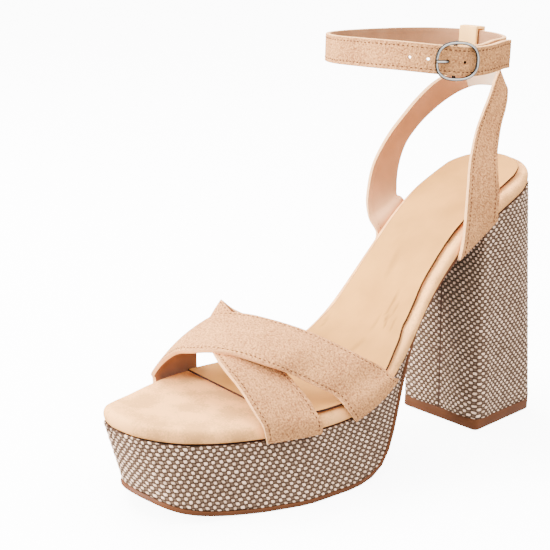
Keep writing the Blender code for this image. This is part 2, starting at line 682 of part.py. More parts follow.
def loop_points(table, per_span):
    """Points of a closed smooth line through a table's x and y, and the way along it at each point."""
    knots = np.column_stack([column(table, "x"), column(table, "y")])
    points = []
    for i in range(len(knots)):
        before, here, there, after = (knots[(i + k) % len(knots)] for k in (-1, 0, 1, 2))
        for step in range(per_span):
            t = step / per_span
            points.append(here + t * (there - before) / 2.0
                          + t * t * (before - 2.5 * here + 2.0 * there - after / 2.0)
                          + t ** 3 * (1.5 * (here - there) + (after - before) / 2.0))
    points = np.array(points + [points[0]])
    run = np.concatenate([[0.0], np.cumsum(np.linalg.norm(np.diff(points, axis=0), axis=1))])
    return points, run


ANKLE_LINE, ANKLE_RUN = loop_points(ANKLE, 24)
ANKLE_GIRTH = float(ANKLE_RUN[-1])


def ankle_point(at, off):
    """A point in plan, at millimetres along the ankle line and off millimetres out from it."""
    places = (at + np.array([-0.5, 0.0, 0.5])) % ANKLE_GIRTH
    x = np.interp(places, ANKLE_RUN, ANKLE_LINE[:, 0])
    y = np.interp(places, ANKLE_RUN, ANKLE_LINE[:, 1])
    dx = x[2] - x[0]
    dy = y[2] - y[0]
    length = math.hypot(dx, dy)
    return x[1] + dy / length * off, y[1] - dx / length * off


layer_off = smooth(column(LAYERS, "at"), column(LAYERS, "off"))


def strap_off(at):
    """How far the strap's middle stands off the ankle line."""
    return float(layer_off(at))


def buckle_place():
    """Centre of the buckle on the ankle line, and its along, up and out directions."""
    x, y = ankle_point(BUCKLE_AT, 0.0)
    ox, oy = ankle_point(BUCKLE_AT, 1.0)
    out = Vector((ox - x, oy - y, 0.0)).normalized()
    up = Vector((0.0, 0.0, 1.0))
    along = up.cross(out)
    centre = Vector((x, y, ANKLE_TOP - ANKLE_STRAP_WIDTH / 2.0 - BUCKLE_DROP))
    return centre, along, up, out


def build_ankle_strap():
    """Ankle strap from its free tip, through the buckle and once round the ankle to its short end."""
    end = BUCKLE_AT - SHORT_END_PAST_BAR - ANKLE_GIRTH
    places = np.linspace(TIP_AT, end, round((TIP_AT - end) / ANKLE_SECTION) + 1)
    front = []
    rear = []
    for at in places:
        x, y = ankle_point(at, strap_off(at) + ANKLE_STRAP_THICKNESS / 2.0)
        front.append((x, y, ANKLE_TOP - ANKLE_STRAP_WIDTH))
        rear.append((x, y, ANKLE_TOP))
    belt = band("ankle_strap", np.array(front), np.array(rear), ANKLE_STRAP_THICKNESS, 0.0, 2)
    centre = buckle_place()[0]
    for number, hole in enumerate(HOLES):
        at = BUCKLE_AT + along_strap(PRONG_HOLE_ALONG + hole * HOLE_PITCH)
        x, y = ankle_point(at, strap_off(at))
        ox, oy = ankle_point(at, strap_off(at) + 1.0)
        radius = PRONG_HOLE_RADIUS if hole == 0 else HOLE_RADIUS
        out = Vector((ox - x, oy - y, 0.0))
        cutter = cylinder("strap_hole_%d" % (number + 1), Vector((x, y, centre.z)), out, radius, 1.7)
        boolean(belt, cutter, "DIFFERENCE")
    return belt


def along_strap(distance):
    """Way along the ankle line for a distance measured on the long end from the buckle."""
    places = np.linspace(-40.0, 40.0, 321)
    points = np.array([ankle_point(BUCKLE_AT + at, strap_off(BUCKLE_AT + at)) for at in places])
    run = np.concatenate([[0.0], np.cumsum(np.linalg.norm(np.diff(points, axis=0), axis=1))])
    run -= run[len(run) // 2]
    return float(np.interp(distance, run, places))


def cylinder(name, centre, axis, radius, half_length):
    """A short twelve-sided cutter."""
    bm = bmesh.new()
    depth = 2.0 * half_length
    bmesh.ops.create_cone(bm, cap_ends=True, segments=12, radius1=radius, radius2=radius, depth=depth)
    turn = axis.to_track_quat("Z", "Y").to_matrix().to_4x4()
    bmesh.ops.transform(bm, matrix=Matrix.Translation(centre) @ turn, verts=bm.verts)
    return mesh_object(name, bm, "suede")


def tube(name, points, radius, sides, closed, slot):
    """A round wire along points."""
    pts = [Vector(p) for p in points]
    count = len(pts)
    bm = bmesh.new()
    rings = []
    reference = None
    for i, p in enumerate(pts):
        if closed:
            run = pts[(i + 1) % count] - pts[i - 1]
        else:
            run = pts[min(i + 1, count - 1)] - pts[max(i - 1, 0)]
        run.normalize()
        if reference is None:
            reference = run.orthogonal().normalized()
        reference = (reference - run * reference.dot(run)).normalized()
        other = run.cross(reference)
        ring = []
        for s in range(sides):
            a = 2.0 * math.pi * s / sides
            ring.append(bm.verts.new(p + (reference * math.cos(a) + other * math.sin(a)) * radius))
        rings.append(ring)
    bridge(bm, rings)
    if closed:
        bridge_back(bm, rings[-1], rings[0])
    else:
        bm.faces.new(rings[0])
        bm.faces.new(rings[-1])
    return mesh_object(name, bm, slot)


def bridge_back(bm, last, first):
    """Close a ring of sections, starting where the two sections lie nearest."""
    count = len(first)
    best = min(range(count), key=lambda s: (last[0].co - first[s].co).length)
    for i in range(count):
        j = (i + 1) % count
        bm.faces.new((last[i], last[j], first[(best + j) % count], first[(best + i) % count]))


def build_buckle():
    """Oval wire frame with a centre bar bowed in under the strap."""
    centre, along, up, out = buckle_place()
    points = []
    count = 40
    for i in range(count):
        a = 2.0 * math.pi * i / count
        c = math.cos(a)
        s = math.sin(a)
        u = FRAME_HALF_WIDTH * math.copysign(abs(c) ** (2.0 / FRAME_POWER), c)
        v = FRAME_HALF_HEIGHT * math.copysign(abs(s) ** (2.0 / FRAME_POWER), s)
        points.append(centre + along * u + up * v + out * FRAME_STAND_OFF)
    frame = tube("buckle_frame", points, FRAME_WIRE_RADIUS, 8, True, "metal")
    route = (
        dict(v=FRAME_HALF_HEIGHT, n=FRAME_STAND_OFF),
        dict(v=FRAME_HALF_HEIGHT, n=BAR_DEPTH + 1.4),
        dict(v=FRAME_HALF_HEIGHT - 0.2, n=BAR_DEPTH + 0.5),
        dict(v=FRAME_HALF_HEIGHT - 1.2, n=BAR_DEPTH),
    )
    half = [centre + up * step["v"] + out * step["n"] for step in route]
    other = [centre - up * step["v"] + out * step["n"] for step in reversed(route)]
    bar = tube("buckle_bar", half + other, BAR_RADIUS, 8, False, "metal")
    boolean(frame, bar, "UNION")
    return frame


def build_prong():
    """Prong through the strap's hole, its tip over the frame's front side."""
    centre, along, up, out = buckle_place()
    over = FRAME_STAND_OFF + FRAME_WIRE_RADIUS + GAP + PRONG_RADIUS
    route = (
        dict(u=-BAR_RADIUS - GAP - 1.1, n=BAR_DEPTH),
        dict(u=PRONG_HOLE_ALONG + 1.0, n=BAR_DEPTH),
        dict(u=PRONG_HOLE_ALONG + 0.2, n=BAR_DEPTH + 0.6),
        dict(u=PRONG_HOLE_ALONG, n=BAR_DEPTH + 1.8),
        dict(u=PRONG_HOLE_ALONG - 0.1, n=BAR_DEPTH + 3.6),
        dict(u=PRONG_HOLE_ALONG - 0.7, n=over - 0.6),
        dict(u=PRONG_HOLE_ALONG - 1.8, n=over),
        dict(u=-FRAME_HALF_WIDTH - 0.9, n=over),
    )
    points = [centre + along * step["u"] + out * step["n"] for step in route]
    return tube("buckle_prong", points, PRONG_RADIUS, 8, False, "metal")


def build_back_loop():
    """Suede loop that stands on the sling's back and holds the ankle strap."""
    hole = ANKLE_STRAP_THICKNESS / 2.0 + LOOP_EASE
    low = ANKLE_TOP - ANKLE_STRAP_WIDTH - LOOP_EASE
    high = ANKLE_TOP + LOOP_EASE
    inner = ((-hole, low), (-hole, high), (hole, high), (hole, low))
    wall = hole + LOOP_WALL
    foot = low - LOOP_WALL
    head = high + LOOP_WALL
    outer = ((-wall, foot), (-wall, head), (wall, head), (wall, foot))
    bm = bmesh.new()
    sections = []
    for turn in (-1.0, -0.5, 0.0, 0.5, 1.0):
        at = LOOP_AT + turn * LOOP_LENGTH / 2.0
        sections.append([[bm.verts.new((*ankle_point(at, off), z)) for off, z in loop]
                         for loop in (inner, outer)])
    for (in_a, out_a), (in_b, out_b) in zip(sections, sections[1:]):
        bridge(bm, (in_a, in_b))
        bridge(bm, (out_a, out_b))
    for inside, outside in (sections[0], sections[-1]):
        bridge(bm, (inside, outside))
    return mesh_object("back_loop", bm, "suede")


def centre_on_origin():
    """Move everything so that the origin is under the middle of the whole sandal."""
    bpy.context.view_layer.update()
    graph = bpy.context.evaluated_depsgraph_get()
    low = Vector((1.0, 1.0, 1.0))
    high = -low
    for obj in bpy.data.objects:
        if obj.type != "MESH" or obj.hide_render:
            continue
        for vert in obj.evaluated_get(graph).data.vertices:
            for i in range(3):
                low[i] = min(low[i], vert.co[i])
                high[i] = max(high[i], vert.co[i])
    shift = Vector((-(low.x + high.x) / 2.0, -(low.y + high.y) / 2.0, -low.z))
    for obj in bpy.data.objects:
        obj.data.transform(Matrix.Translation(shift))


def main():
    clear_scene()
    build_insole()
    build_sock()
    build_outsole()
    build_platform()
    build_heel()
    build_top_piece()
    build_vamp()
    build_sling()
    build_ankle_strap()
    build_back_loop()
    build_buckle()
    build_prong()
    centre_on_origin()


main()
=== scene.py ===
"""Looks of the heeled sandal: woven covers, suede straps with their stitching, sock, rubber and buckle.

Tables are in millimetres, with the toe towards -Y, the lateral side towards +X and the floor at z = 0.
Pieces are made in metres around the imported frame.
"""

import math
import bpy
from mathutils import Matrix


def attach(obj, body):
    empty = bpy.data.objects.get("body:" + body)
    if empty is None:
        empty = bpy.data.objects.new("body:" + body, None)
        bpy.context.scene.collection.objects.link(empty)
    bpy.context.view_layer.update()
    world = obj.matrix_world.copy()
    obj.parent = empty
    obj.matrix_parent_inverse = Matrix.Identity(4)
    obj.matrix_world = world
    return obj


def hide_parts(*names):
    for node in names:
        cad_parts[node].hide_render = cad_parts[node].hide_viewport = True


bl_info = {
    "name": "Heeled Sandal Looks",
    "version": (1, 0, 0),
    "blender": (4, 5, 0),
    "location": "View3D > Sidebar > Sandal",
    "description": "Builds the covers, straps, stitching and finishes of a heeled sandal",
    "category": "Object",
}

import bpy
import numpy as np
from bpy.props import FloatProperty, FloatVectorProperty, PointerProperty
from mathutils import Matrix, Vector

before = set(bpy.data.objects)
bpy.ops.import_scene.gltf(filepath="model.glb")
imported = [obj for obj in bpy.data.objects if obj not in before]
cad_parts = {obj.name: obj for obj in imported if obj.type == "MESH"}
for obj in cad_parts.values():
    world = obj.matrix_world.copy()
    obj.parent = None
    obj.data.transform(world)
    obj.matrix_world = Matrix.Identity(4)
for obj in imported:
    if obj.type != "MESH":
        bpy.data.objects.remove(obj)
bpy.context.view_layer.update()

MM = 0.001
WHITE = (1.0, 1.0, 1.0, 1.0)


def table(names, *rows):
    """Rows of a table, each by its columns' names."""
    return tuple(dict(zip(names.split(), row)) for row in rows)


# Table point at the toe end of the footbed: it finds where the tables lie in the frame
TOE_POINT = (-5.5, -109.0)

# Clearances and wall thicknesses (mm)
GAP = 0.3
RAND_HEIGHT = 7.0
SOCK_THICKNESS = 0.8
SOCK_FRONT_Y = -51.0
SOCK_INSET = 4.8
OUTSOLE_THICKNESS = 2.0
TOP_PIECE_HEIGHT = 5.6
STRAP_THICKNESS = 1.8

# The footbed's outer edge, toe to heel. lateral and medial: x of each edge. top: height of the footbed.
FOOTBED = table(
    "y lateral medial top",
    (-109.0, -5.5, -5.5, 43.4),
    (-106.5, 5.8, -14.8, 42.7),
    (-99.0, 13.8, -21.8, 40.8),
    (-87.0, 20.4, -29.0, 38.6),
    (-72.0, 26.2, -36.2, 37.4),
    (-53.0, 31.6, -41.0, 37.0),
    (-32.0, 36.0, -39.8, 37.3),
    (-9.5, 37.2, -31.6, 40.2),
    (13.5, 33.4, -24.2, 55.0),
    (36.0, 27.8, -21.2, 81.0),
    (57.0, 26.0, -23.0, 100.2),
    (75.0, 26.6, -25.8, 111.0),
    (90.0, 25.8, -25.6, 118.3),
    (101.0, 21.5, -20.8, 123.0),
    (107.4, 12.8, -11.6, 125.5),
    (110.0, 0.0, 0.0, 126.4),
)

# The outsole's underside from the toe, under the platform and up the waist. z: its height.
OUTSOLE = table(
    "y z lateral medial",
    (-102.5, 8.4, -4.0, -4.0),
    (-100.0, 7.5, 9.5, -12.8),
    (-96.5, 6.2, 17.4, -17.6),
    (-92.5, 4.9, 21.6, -21.6),
    (-87.5, 3.6, 24.4, -25.6),
    (-80.0, 2.0, 26.6, -30.8),
    (-70.0, 0.7, 29.4, -36.6),
    (-56.0, 0.0, 33.6, -41.6),
    (-36.0, 0.0, 38.0, -43.6),
    (-19.0, 0.0, 38.0, -39.4),
    (-9.0, 0.5, 37.2, -34.4),
    (-3.0, 2.0, 36.4, -31.0),
    (2.3, 5.0, 35.6, -28.6),
    (6.0, 9.5, 35.0, -27.0),
    (8.9, 15.0, 34.2, -25.6),
    (12.2, 24.0, 33.2, -24.0),
    (15.2, 33.0, 32.0, -22.8),
    (18.3, 41.5, 30.8, -21.6),
    (21.4, 49.6, 29.8, -20.8),
)
WAIST_STATIONS_Y = (25.5, 30.0, 38.0, 48.0, 63.0)
WAIST_INSET = 1.6
PLATFORM_SETBACK = 0.7
PLATFORM_TOP_SETBACK = 1.2
PLATFORM_TOP_GAP = 0.55
PLATFORM_REAR_Y = 23.0
FLAT_FROM_Y = -56.0
FLAT_TO_Y = -19.0

# Heel block: its bottom rectangle, turned a little about the vertical, and where its breast meets the seat.
HEEL_CENTRE = (1.5, 91.7)
HEEL_WIDTH = 44.8
HEEL_LENGTH = 45.2
HEEL_TURN = math.radians(6.2)
HEEL_FRONT_RADIUS = 2.5
HEEL_BACK_RADIUS = 4.0
HEEL_BREAST_TOP_Y = 67.5
SEAT_INSET = 0.3
HEEL_SIDE_POINTS = 3
HEEL_BACK_POINT = 0.33       # a point on the back wall, as a share of half the heel's width
SEAT_CORNER_SHARE = 0.03     # how far the seat's corner points reach in along the breast

# Vamp straps, lateral foot to medial foot, as the two edges of each outer face. f: front edge. r: rear edge.
OVER_STRAP = table(
    "fx fy fz rx ry rz",
    (35.6, -24.4, 42.4, 34.6, 2.0, 49.0),
    (30.8, -31.2, 47.2, 31.4, -6.0, 54.6),
    (25.6, -37.6, 51.2, 25.4, -12.2, 58.6),
    (19.0, -48.2, 56.8, 18.4, -18.6, 62.6),
    (9.5, -56.4, 60.2, 10.0, -24.0, 65.4),
    (-1.0, -63.8, 61.0, 0.0, -31.4, 68.0),
    (-11.0, -67.4, 58.4, -9.5, -39.0, 69.7),
    (-20.5, -68.0, 55.2, -17.0, -45.6, 69.6),
    (-29.0, -68.4, 49.6, -25.0, -46.6, 65.4),
    (-35.8, -68.6, 43.2, -33.0, -46.2, 58.0),
    (-39.6, -68.0, 38.8, -39.4, -44.6, 47.6),
)
UNDER_STRAP = table(
    "fx fy fz rx ry rz",
    (31.2, -60.8, 38.8, 35.0, -36.4, 39.4),
    (27.6, -62.2, 43.6, 32.0, -36.6, 42.4),
    (21.0, -63.0, 49.6, 26.6, -38.2, 47.2),
    (11.0, -64.6, 56.8, 16.0, -40.4, 54.0),
    (0.5, -62.6, 59.6, 4.0, -42.8, 61.0),
    (-9.0, -59.0, 60.6, -5.0, -43.2, 65.0),
    (-19.0, -54.2, 60.8, -14.4, -42.6, 69.2),
    (-27.0, -49.0, 59.4, -25.2, -41.2, 72.4),
    (-33.0, -43.0, 55.6, -27.4, -33.4, 66.4),
    (-36.4, -34.6, 49.4, -27.4, -23.0, 60.4),
    (-37.8, -25.4, 42.4, -28.4, -9.0, 52.2),
)
# Where each strap's foot crosses the rand: y of its two edges at the footbed and at the rand's foot
OVER_LATERAL_FOOT = dict(top_front=-21.8, top_rear=3.6, low_front=-17.6, low_rear=8.6)
OVER_MEDIAL_FOOT = dict(top_front=-66.8, top_rear=-42.2, low_front=-66.4, low_rear=-41.4)
UNDER_LATERAL_FOOT = dict(top_front=-60.2, top_rear=-35.4, low_front=-58.8, low_rear=-35.0)
UNDER_MEDIAL_FOOT = dict(top_front=-22.4, top_rear=3.4, low_front=-17.2, low_rear=8.0)
OVER_BOW = 1.8
UNDER_BOW = 0.4
OVER_WIDTH = 29.0
UNDER_WIDTH = 25.0

# The sling, lateral foot to medial foot round the back. f: upper, forward edge. r: lower, rear edge.
SLING = table(
    "fx fy fz rx ry rz",
    (26.9, 54.4, 105.4, 28.5, 73.4, 110.6),
    (25.6, 55.9, 112.8, 27.7, 74.2, 115.8),
    (23.6, 58.2, 120.2, 25.9, 75.0, 121.4),
    (20.6, 61.4, 127.4, 23.8, 76.2, 126.8),
    (17.1, 66.6, 136.3, 20.6, 79.0, 132.6),
    (13.7, 72.5, 143.4, 17.2, 83.3, 138.2),
    (11.4, 78.4, 150.0, 13.6, 88.4, 144.0),
    (8.6, 85.0, 156.4, 10.6, 94.0, 150.4),
    (4.6, 92.4, 162.8, 7.3, 98.5, 155.8),
    (0.4, 99.4, 167.6, 1.6, 103.8, 158.9),
    (-8.5, 102.4, 169.4, -8.8, 106.9, 158.6),
    (-17.4, 98.4, 167.6, -18.2, 104.2, 158.0),
    (-23.8, 92.8, 164.2, -25.4, 101.0, 154.8),
    (-29.0, 85.6, 158.6, -31.0, 96.4, 150.0),
    (-32.2, 78.2, 151.2, -35.6, 89.8, 143.0),
    (-34.3, 70.6, 142.6, -38.0, 83.0, 135.6),
    (-36.4, 65.4, 135.2, -38.8, 78.0, 129.0),
    (-38.2, 61.2, 127.4, -38.9, 75.3, 123.2),
    (-38.7, 57.4, 120.0, -38.6, 73.3, 116.8),
    (-38.1, 54.4, 111.0, -37.4, 71.6, 109.8),
    (-35.4, 51.3, 101.6, -35.0, 70.2, 105.4),
    (-31.2, 49.7, 95.0, -31.4, 68.4, 103.4),
)
SLING_LATERAL_FOOT = dict(top_front=52.4, top_rear=73.0, low_front=50.6, low_rear=73.4)
SLING_MEDIAL_FOOT = dict(top_front=48.2, top_rear=67.0, low_front=47.0, low_rear=67.6)
SLING_MEDIAL_DROP = 3.4
SLING_WIDTH = 15.0
BACK_STAY = (88.0, 110.0)    # part of the sling, from its lateral foot, with the back stay's lining
FOOT_DROP = 0.6

# Ankle strap in plan: the middle of the strap where it lies next to the foot, from the buckle rearwards.
ANKLE = table(
    "x y",
    (29.4, 37.0), (31.0, 52.0), (26.6, 67.6), (17.8, 80.8), (6.0, 91.4), (-8.0, 97.6), (-22.4, 97.6),
    (-33.5, 90.0), (-39.0, 75.0), (-40.0, 55.0), (-38.0, 36.0), (-32.0, 21.0), (-20.0, 14.5),
    (-6.0, 15.4), (9.0, 19.4), (21.0, 26.5),
)
ANKLE_TOP = 183.8
ANKLE_STRAP_WIDTH = 12.0
ANKLE_STRAP_THICKNESS = 2.0
# Places along the strap in plan, rearwards from the table's first row
BUCKLE_AT = -0.6
BUCKLE_DROP = 0.2
TIP_AT = 30.0
SHORT_END_PAST_BAR = 2.6
# How far the long end stands out from the short end's line, along the strap
LAYERS = table("at off", (-70.0, 0.0), (-12.0, 4.2), (12.0, 4.2), (30.0, 5.0))
# Rise of the strap, along it from the buckle: it sags where the buckle hangs
STRAP_SAG = table(
    "at rise",
    (-60.0, 0.0), (-24.0, 0.5), (-6.0, -0.4), (6.0, -1.3), (14.0, -0.9), (27.0, 0.6), (60.0, 0.0),
)

# Buckle frame and prong
FRAME_HALF_WIDTH = 9.1
FRAME_HALF_HEIGHT = 7.45
FRAME_POWER = 2.5
FRAME_WIRE_RADIUS = 0.8
FRAME_STAND_OFF = 5.2
BAR_RADIUS = 0.8
BAR_DEPTH = 2.1
PRONG_RADIUS = 0.7
PRONG_HOLE_ALONG = -4.2
HOLE_PITCH = 7.6
HOLE_RADIUS = 0.9
HOLES = (-2, -1, 0, 1)    # places of the holes, counted from the prong's
FRAME_DRAWN = 0.9      # radius of the polished frame's wire, as a share of the solid's
BUCKLE_SAG = 0.7       # the buckle hangs this much lower than in the solids
HOLE_CLOSING = 0.72    # punched holes close up to this share
PUNCH_LENGTH = 3.6     # long enough for one layer of the strap

# Woven covers
COVER_STAND = 0.02     # the lowest cloth stands out this much from the solid
COVER_TURN_IN = 0.7    # the cloth's edges turn in by this much
PLATFORM_LIFT = 0.45   # the platform cloth's upper edge rises by this much towards the rand
HEEL_LIFT = 0.25       # the same on the heel, under the seat
HEEL_SEAM = 0.6        # half the opening of the seam down the breast
THINNEST_KNOT = 0.65   # height of the thinnest knot of pale yarn, as a share of the thickest
DARK_YARN = 0.35       # height of the dark yarn, as a share of the same
YARN_WEAR = 0.5        # how much of its paleness the most worn yarn loses

# Sock
SOCK_DARK_EDGE = 0.25      # width of the dark line round the sock's edge: painted shade of the gap along it, over the edge's own darker tone
SOCK_WIDTH = 52.0      # the width that its divisions across are counted on
# Creases pressed into the sock at the waist: both ends, depth and half width
SOCK_CREASES = table(
    "x0 y0 x1 y1 deep half",
    (17.6, 16.5, 14.4, 21.5, 0.60, 1.1),
    (14.4, 20.0, 13.1, 29.0, 0.70, 1.2),
    (17.0, 21.5, 16.4, 26.5, 0.60, 0.9),
    (21.5, 16.0, 19.5, 22.0, 0.45, 1.0),
    (11.0, 14.0, 11.3, 24.0, 0.40, 1.6),
    (-15.5, 8.0, -16.8, 15.0, 0.45, 1.3),
    (3.0, 30.0, -2.0, 44.0, 0.35, 2.4),
    (8.0, 2.0, 12.0, 12.0, 0.40, 2.0),
)
CREASE_REACH = 0.45    # a crease fades beyond this share of its length from its middle
SWELL_HEIGHT = 0.6     # height of the swell along its side, as a share of its depth
SWELL_OFF = 1.9        # way from the crease to its swell, in half widths
# Jogs of the sock's lateral edge, and how much further out that edge lies towards the toe
SOCK_JOGS = table("y shift half", (19.3, -0.8, 2.0), (28.0, 0.3, 3.0), (8.0, 0.25, 4.0), (62.0, -0.2, 5.0))
SOCK_REACH = table("y reach", (-60.0, 3.7), (0.0, 3.7), (11.0, 1.6), (22.0, 0.0), (120.0, 0.0))

# Suede, rubber and stitches
PEBBLE = 0.8           # width of one pebble of the suede's grain
PEBBLE_BEND = 0.4      # how far the pebbles stray from even rows
# PEBBLE_SHOW scales the pebbles' relief and also their painted light and shade in the suede's colour
PEBBLE_SHOW = 0.15     # how much the pebbles' tops show in the suede's colour, beside its nap
NAP = 0.8              # width of one tuft of its nap
TONE_SPREAD = 0.19     # half the range of tone from the suede's dark colour to its light one
TREAD_SPAN = 24.0      # scale of the tread's ribs
TREAD_RISE = 6.0       # how much the ribs stand up beside the rubber's skin
GROOVE_WIDTH = 0.3     # half width of the groove that the stitches pull into a strap
STRAP_GROOVE = 0.16    # its depth in the vamp's straps and the sling
ANKLE_GROOVE = 0.14    # its depth in the ankle strap
STITCH_SINK = 0.05     # how far a line of stitches, and each stitch again, is sunk into the suede
STITCH_AIM = 0.4       # each stitch points at the place this far ahead of it

# Stage, in metres
FLOOR_SIZE = 16.0
FLOOR_GLOW = 8.0       # light that the acrylic floor gives out
FLOOR_BOUNCE = 0.9     # light that comes up from below the horizon
WALL_RADIUS = 7.8
WALL_HEIGHT = 4.0
LIGHT_TARGET = (0.0, 0.0, 0.08)

# Camera: turned about the vertical from the toe towards the lateral side, raised, and rolled a little
CAMERA_TURN = math.radians(50.915)
CAMERA_RISE = math.radians(15.968)
CAMERA_ROLL = math.radians(1.544)
CAMERA_PLACE = (373.3, -328.8, 227.3)
CAMERA_LENS = 77.68    # mm, on a sensor 36 mm wide
CAMERA_SENSOR = 36.0
CAMERA_SHIFT = (-0.0205, -0.0116)    # shares of the view's width

# Numbers of divisions, and the step along a strap in millimetres
SOLE_STATIONS = 40
CORNER_STEPS = 4
SEAT_POINTS = 40
SOCK_STATIONS = 110
ANKLE_STEPS = 24
WIRE_RESOLUTION = 5
STRAP_STEP = 1.6


# ---- Outlines


def column(rows, name):
    """One named column of a table."""
    return np.array([row[name] for row in rows], float)


def way_along(points):
    """The way along a line of points, from 0 at its first."""
    return np.concatenate([[0.0], np.cumsum(np.linalg.norm(np.diff(points, axis=0), axis=1))])


def cubic(knots, values, tangents):
    """A cubic through the knots with the given tangents, as a function."""

    def value(at):
        at = np.clip(np.asarray(at, float), knots[0], knots[-1])
        i = np.clip(np.searchsorted(knots, at) - 1, 0, len(knots) - 2)
        step = knots[i + 1] - knots[i]
        t = (at - knots[i]) / step
        low = (1.0 + 2.0 * t) * (1.0 - t) ** 2 * values[i] + t * (1.0 - t) ** 2 * step * tangents[i]
        high = t * t * (3.0 - 2.0 * t) * values[i + 1] + t * t * (t - 1.0) * step * tangents[i + 1]
        return low + high

    return value


def smooth(knots, values):
    """A monotone cubic through the knots (Fritsch-Carlson), as a function."""
    knots = np.asarray(knots, float)
    values = np.asarray(values, float)
    step = np.diff(knots)
    slope = np.diff(values) / step
    tangents = np.zeros(len(knots))
    tangents[[0, -1]] = slope[[0, -1]]
    for i in range(1, len(slope)):
        if slope[i - 1] * slope[i] > 0.0:
            left = 2.0 * step[i] + step[i - 1]
            right = step[i] + 2.0 * step[i - 1]
            tangents[i] = (left + right) / (left / slope[i - 1] + right / slope[i])
    return cubic(knots, values, tangents)


def spline(knots, values):
    """A cubic through the knots with Catmull-Rom tangents, as a function."""
    return cubic(knots, values, np.gradient(values, knots))


def sampled(kind, run, points, at):
    """Places along a line of points, by the kind of cubic through them, at ways counted as run is."""
    return np.stack([kind(run, points[:, c])(at) for c in range(points.shape[1])], axis=1)


FOOT_Y = column(FOOTBED, "y")
FOOT_LENGTH = FOOT_Y[-1] - FOOT_Y[0]


def turn_of(y):
    """The station angle of y: 0 at the toe, pi at the heel, evenly round at both ends."""
    part = (np.asarray(y, float) - FOOT_Y[0]) / FOOT_LENGTH
    return np.arccos(np.clip(1.0 - 2.0 * part, -1.0, 1.0))


def y_of(turn):
    """The y of a station angle."""
    return FOOT_Y[0] + FOOT_LENGTH * (1.0 - np.cos(turn)) / 2.0


footbed_lateral = smooth(turn_of(FOOT_Y), column(FOOTBED, "lateral"))
footbed_medial = smooth(turn_of(FOOT_Y), column(FOOTBED, "medial"))
footbed_top = smooth(FOOT_Y, column(FOOTBED, "top"))


def lateral_at(y):
    """x of the footbed's lateral edge."""
    return footbed_lateral(turn_of(y))


def medial_at(y):
    """x of the footbed's medial edge."""
    return footbed_medial(turn_of(y))


def sole_profile():
    """Outsole underside up to the breast: the table, then a line under the footbed up the waist."""
    rows = list(OUTSOLE)
    for y in WAIST_STATIONS_Y:
        slope = float(footbed_top(y + 1.0) - footbed_top(y - 1.0)) / 2.0
        under = float(footbed_top(y)) - RAND_HEIGHT - (GAP + OUTSOLE_THICKNESS) * math.hypot(1.0, slope)
        lateral = float(lateral_at(y)) - WAIST_INSET
        medial = float(medial_at(y)) + WAIST_INSET
        rows.append(dict(y=y, z=under, lateral=lateral, medial=medial))
    return rows


def sole_stations():
    """The outsole's stations from toe to breast: y, z, lateral x, medial x and the way up into the sole."""
    rows = sole_profile()
    y = column(rows, "y")
    z = column(rows, "z")
    run = way_along(np.column_stack([y, z]))
    root = np.sqrt(run)
    at = np.linspace(0.0, root[-1], SOLE_STATIONS + 1)
    ys = smooth(run, y)(at ** 2)
    zs = smooth(run, z)(at ** 2)
    zs[(ys > FLAT_FROM_Y) & (ys < FLAT_TO_Y)] = 0.0
    dy = np.gradient(ys)
    dz = np.gradient(zs)
    up = np.stack([-dz, dy], axis=1) / np.hypot(dy, dz)[:, None]
    lateral = smooth(root, column(rows, "lateral"))(at)
    medial = smooth(root, column(rows, "medial"))(at)
    return ys, zs, lateral, medial, up


def rounded_rectangle(width, length, front_radius, back_radius):
    """Points round a rectangle from its front lateral corner to the back and the front medial corner."""
    half_w = width / 2.0
    half_l = length / 2.0

    def corner(start, radius, y):
        angles = np.radians(start + 90.0 * np.arange(CORNER_STEPS + 1) / CORNER_STEPS)
        return [(half_w - radius + radius * math.cos(a), y + radius * math.sin(a)) for a in angles]

    straight = (length - front_radius - back_radius) / (HEEL_SIDE_POINTS + 1)
    points = corner(-90.0, front_radius, front_radius - half_l)
    points += [(half_w, front_radius - half_l + straight * (s + 1)) for s in range(HEEL_SIDE_POINTS)]
    points += corner(0.0, back_radius, half_l - back_radius)
    points.append((half_w * HEEL_BACK_POINT, half_l))
    return np.array(points + [(-x, y) for x, y in reversed(points)])


def heel_foot_loop():
    """The heel's bottom outline in plan."""
    loop = rounded_rectangle(HEEL_WIDTH, HEEL_LENGTH, HEEL_FRONT_RADIUS, HEEL_BACK_RADIUS)
    c = math.cos(HEEL_TURN)
    s = math.sin(HEEL_TURN)
    return np.array(HEEL_CENTRE) + loop @ np.array(((c, s), (-s, c)))


def heel_seat_loop(reference):
    """The heel's top outline under the seat, with one point for each of the reference loop's."""
    ys = y_of(np.linspace(float(turn_of(HEEL_BREAST_TOP_Y)), math.pi, SEAT_POINTS))
    lateral = np.stack([lateral_at(ys), ys], axis=1)
    medial = np.stack([medial_at(ys), ys], axis=1)[::-1][1:]
    rim = np.concatenate([lateral, medial])
    rim = rim + edge_normals(rim) * SEAT_INSET
    run = way_along(rim)
    along = way_along(reference[CORNER_STEPS:-CORNER_STEPS])
    share = along / along[-1] * run[-1]
    body = np.stack([np.interp(share, run, rim[:, c]) for c in (0, 1)], axis=1)
    across = body[-1] - body[0]
    steps = (np.arange(CORNER_STEPS) + 1.0)[:, None] / (CORNER_STEPS + 1.0) * SEAT_CORNER_SHARE
    return np.concatenate([body[0] + across * steps[::-1], body, body[-1] - across * steps])


def edge_normals(points):
    """Inward plan normals along an open line that runs lateral side first."""
    run = np.gradient(points, axis=0)
    run /= np.linalg.norm(run, axis=1)[:, None]
    return np.stack([-run[:, 1], run[:, 0]], axis=1)


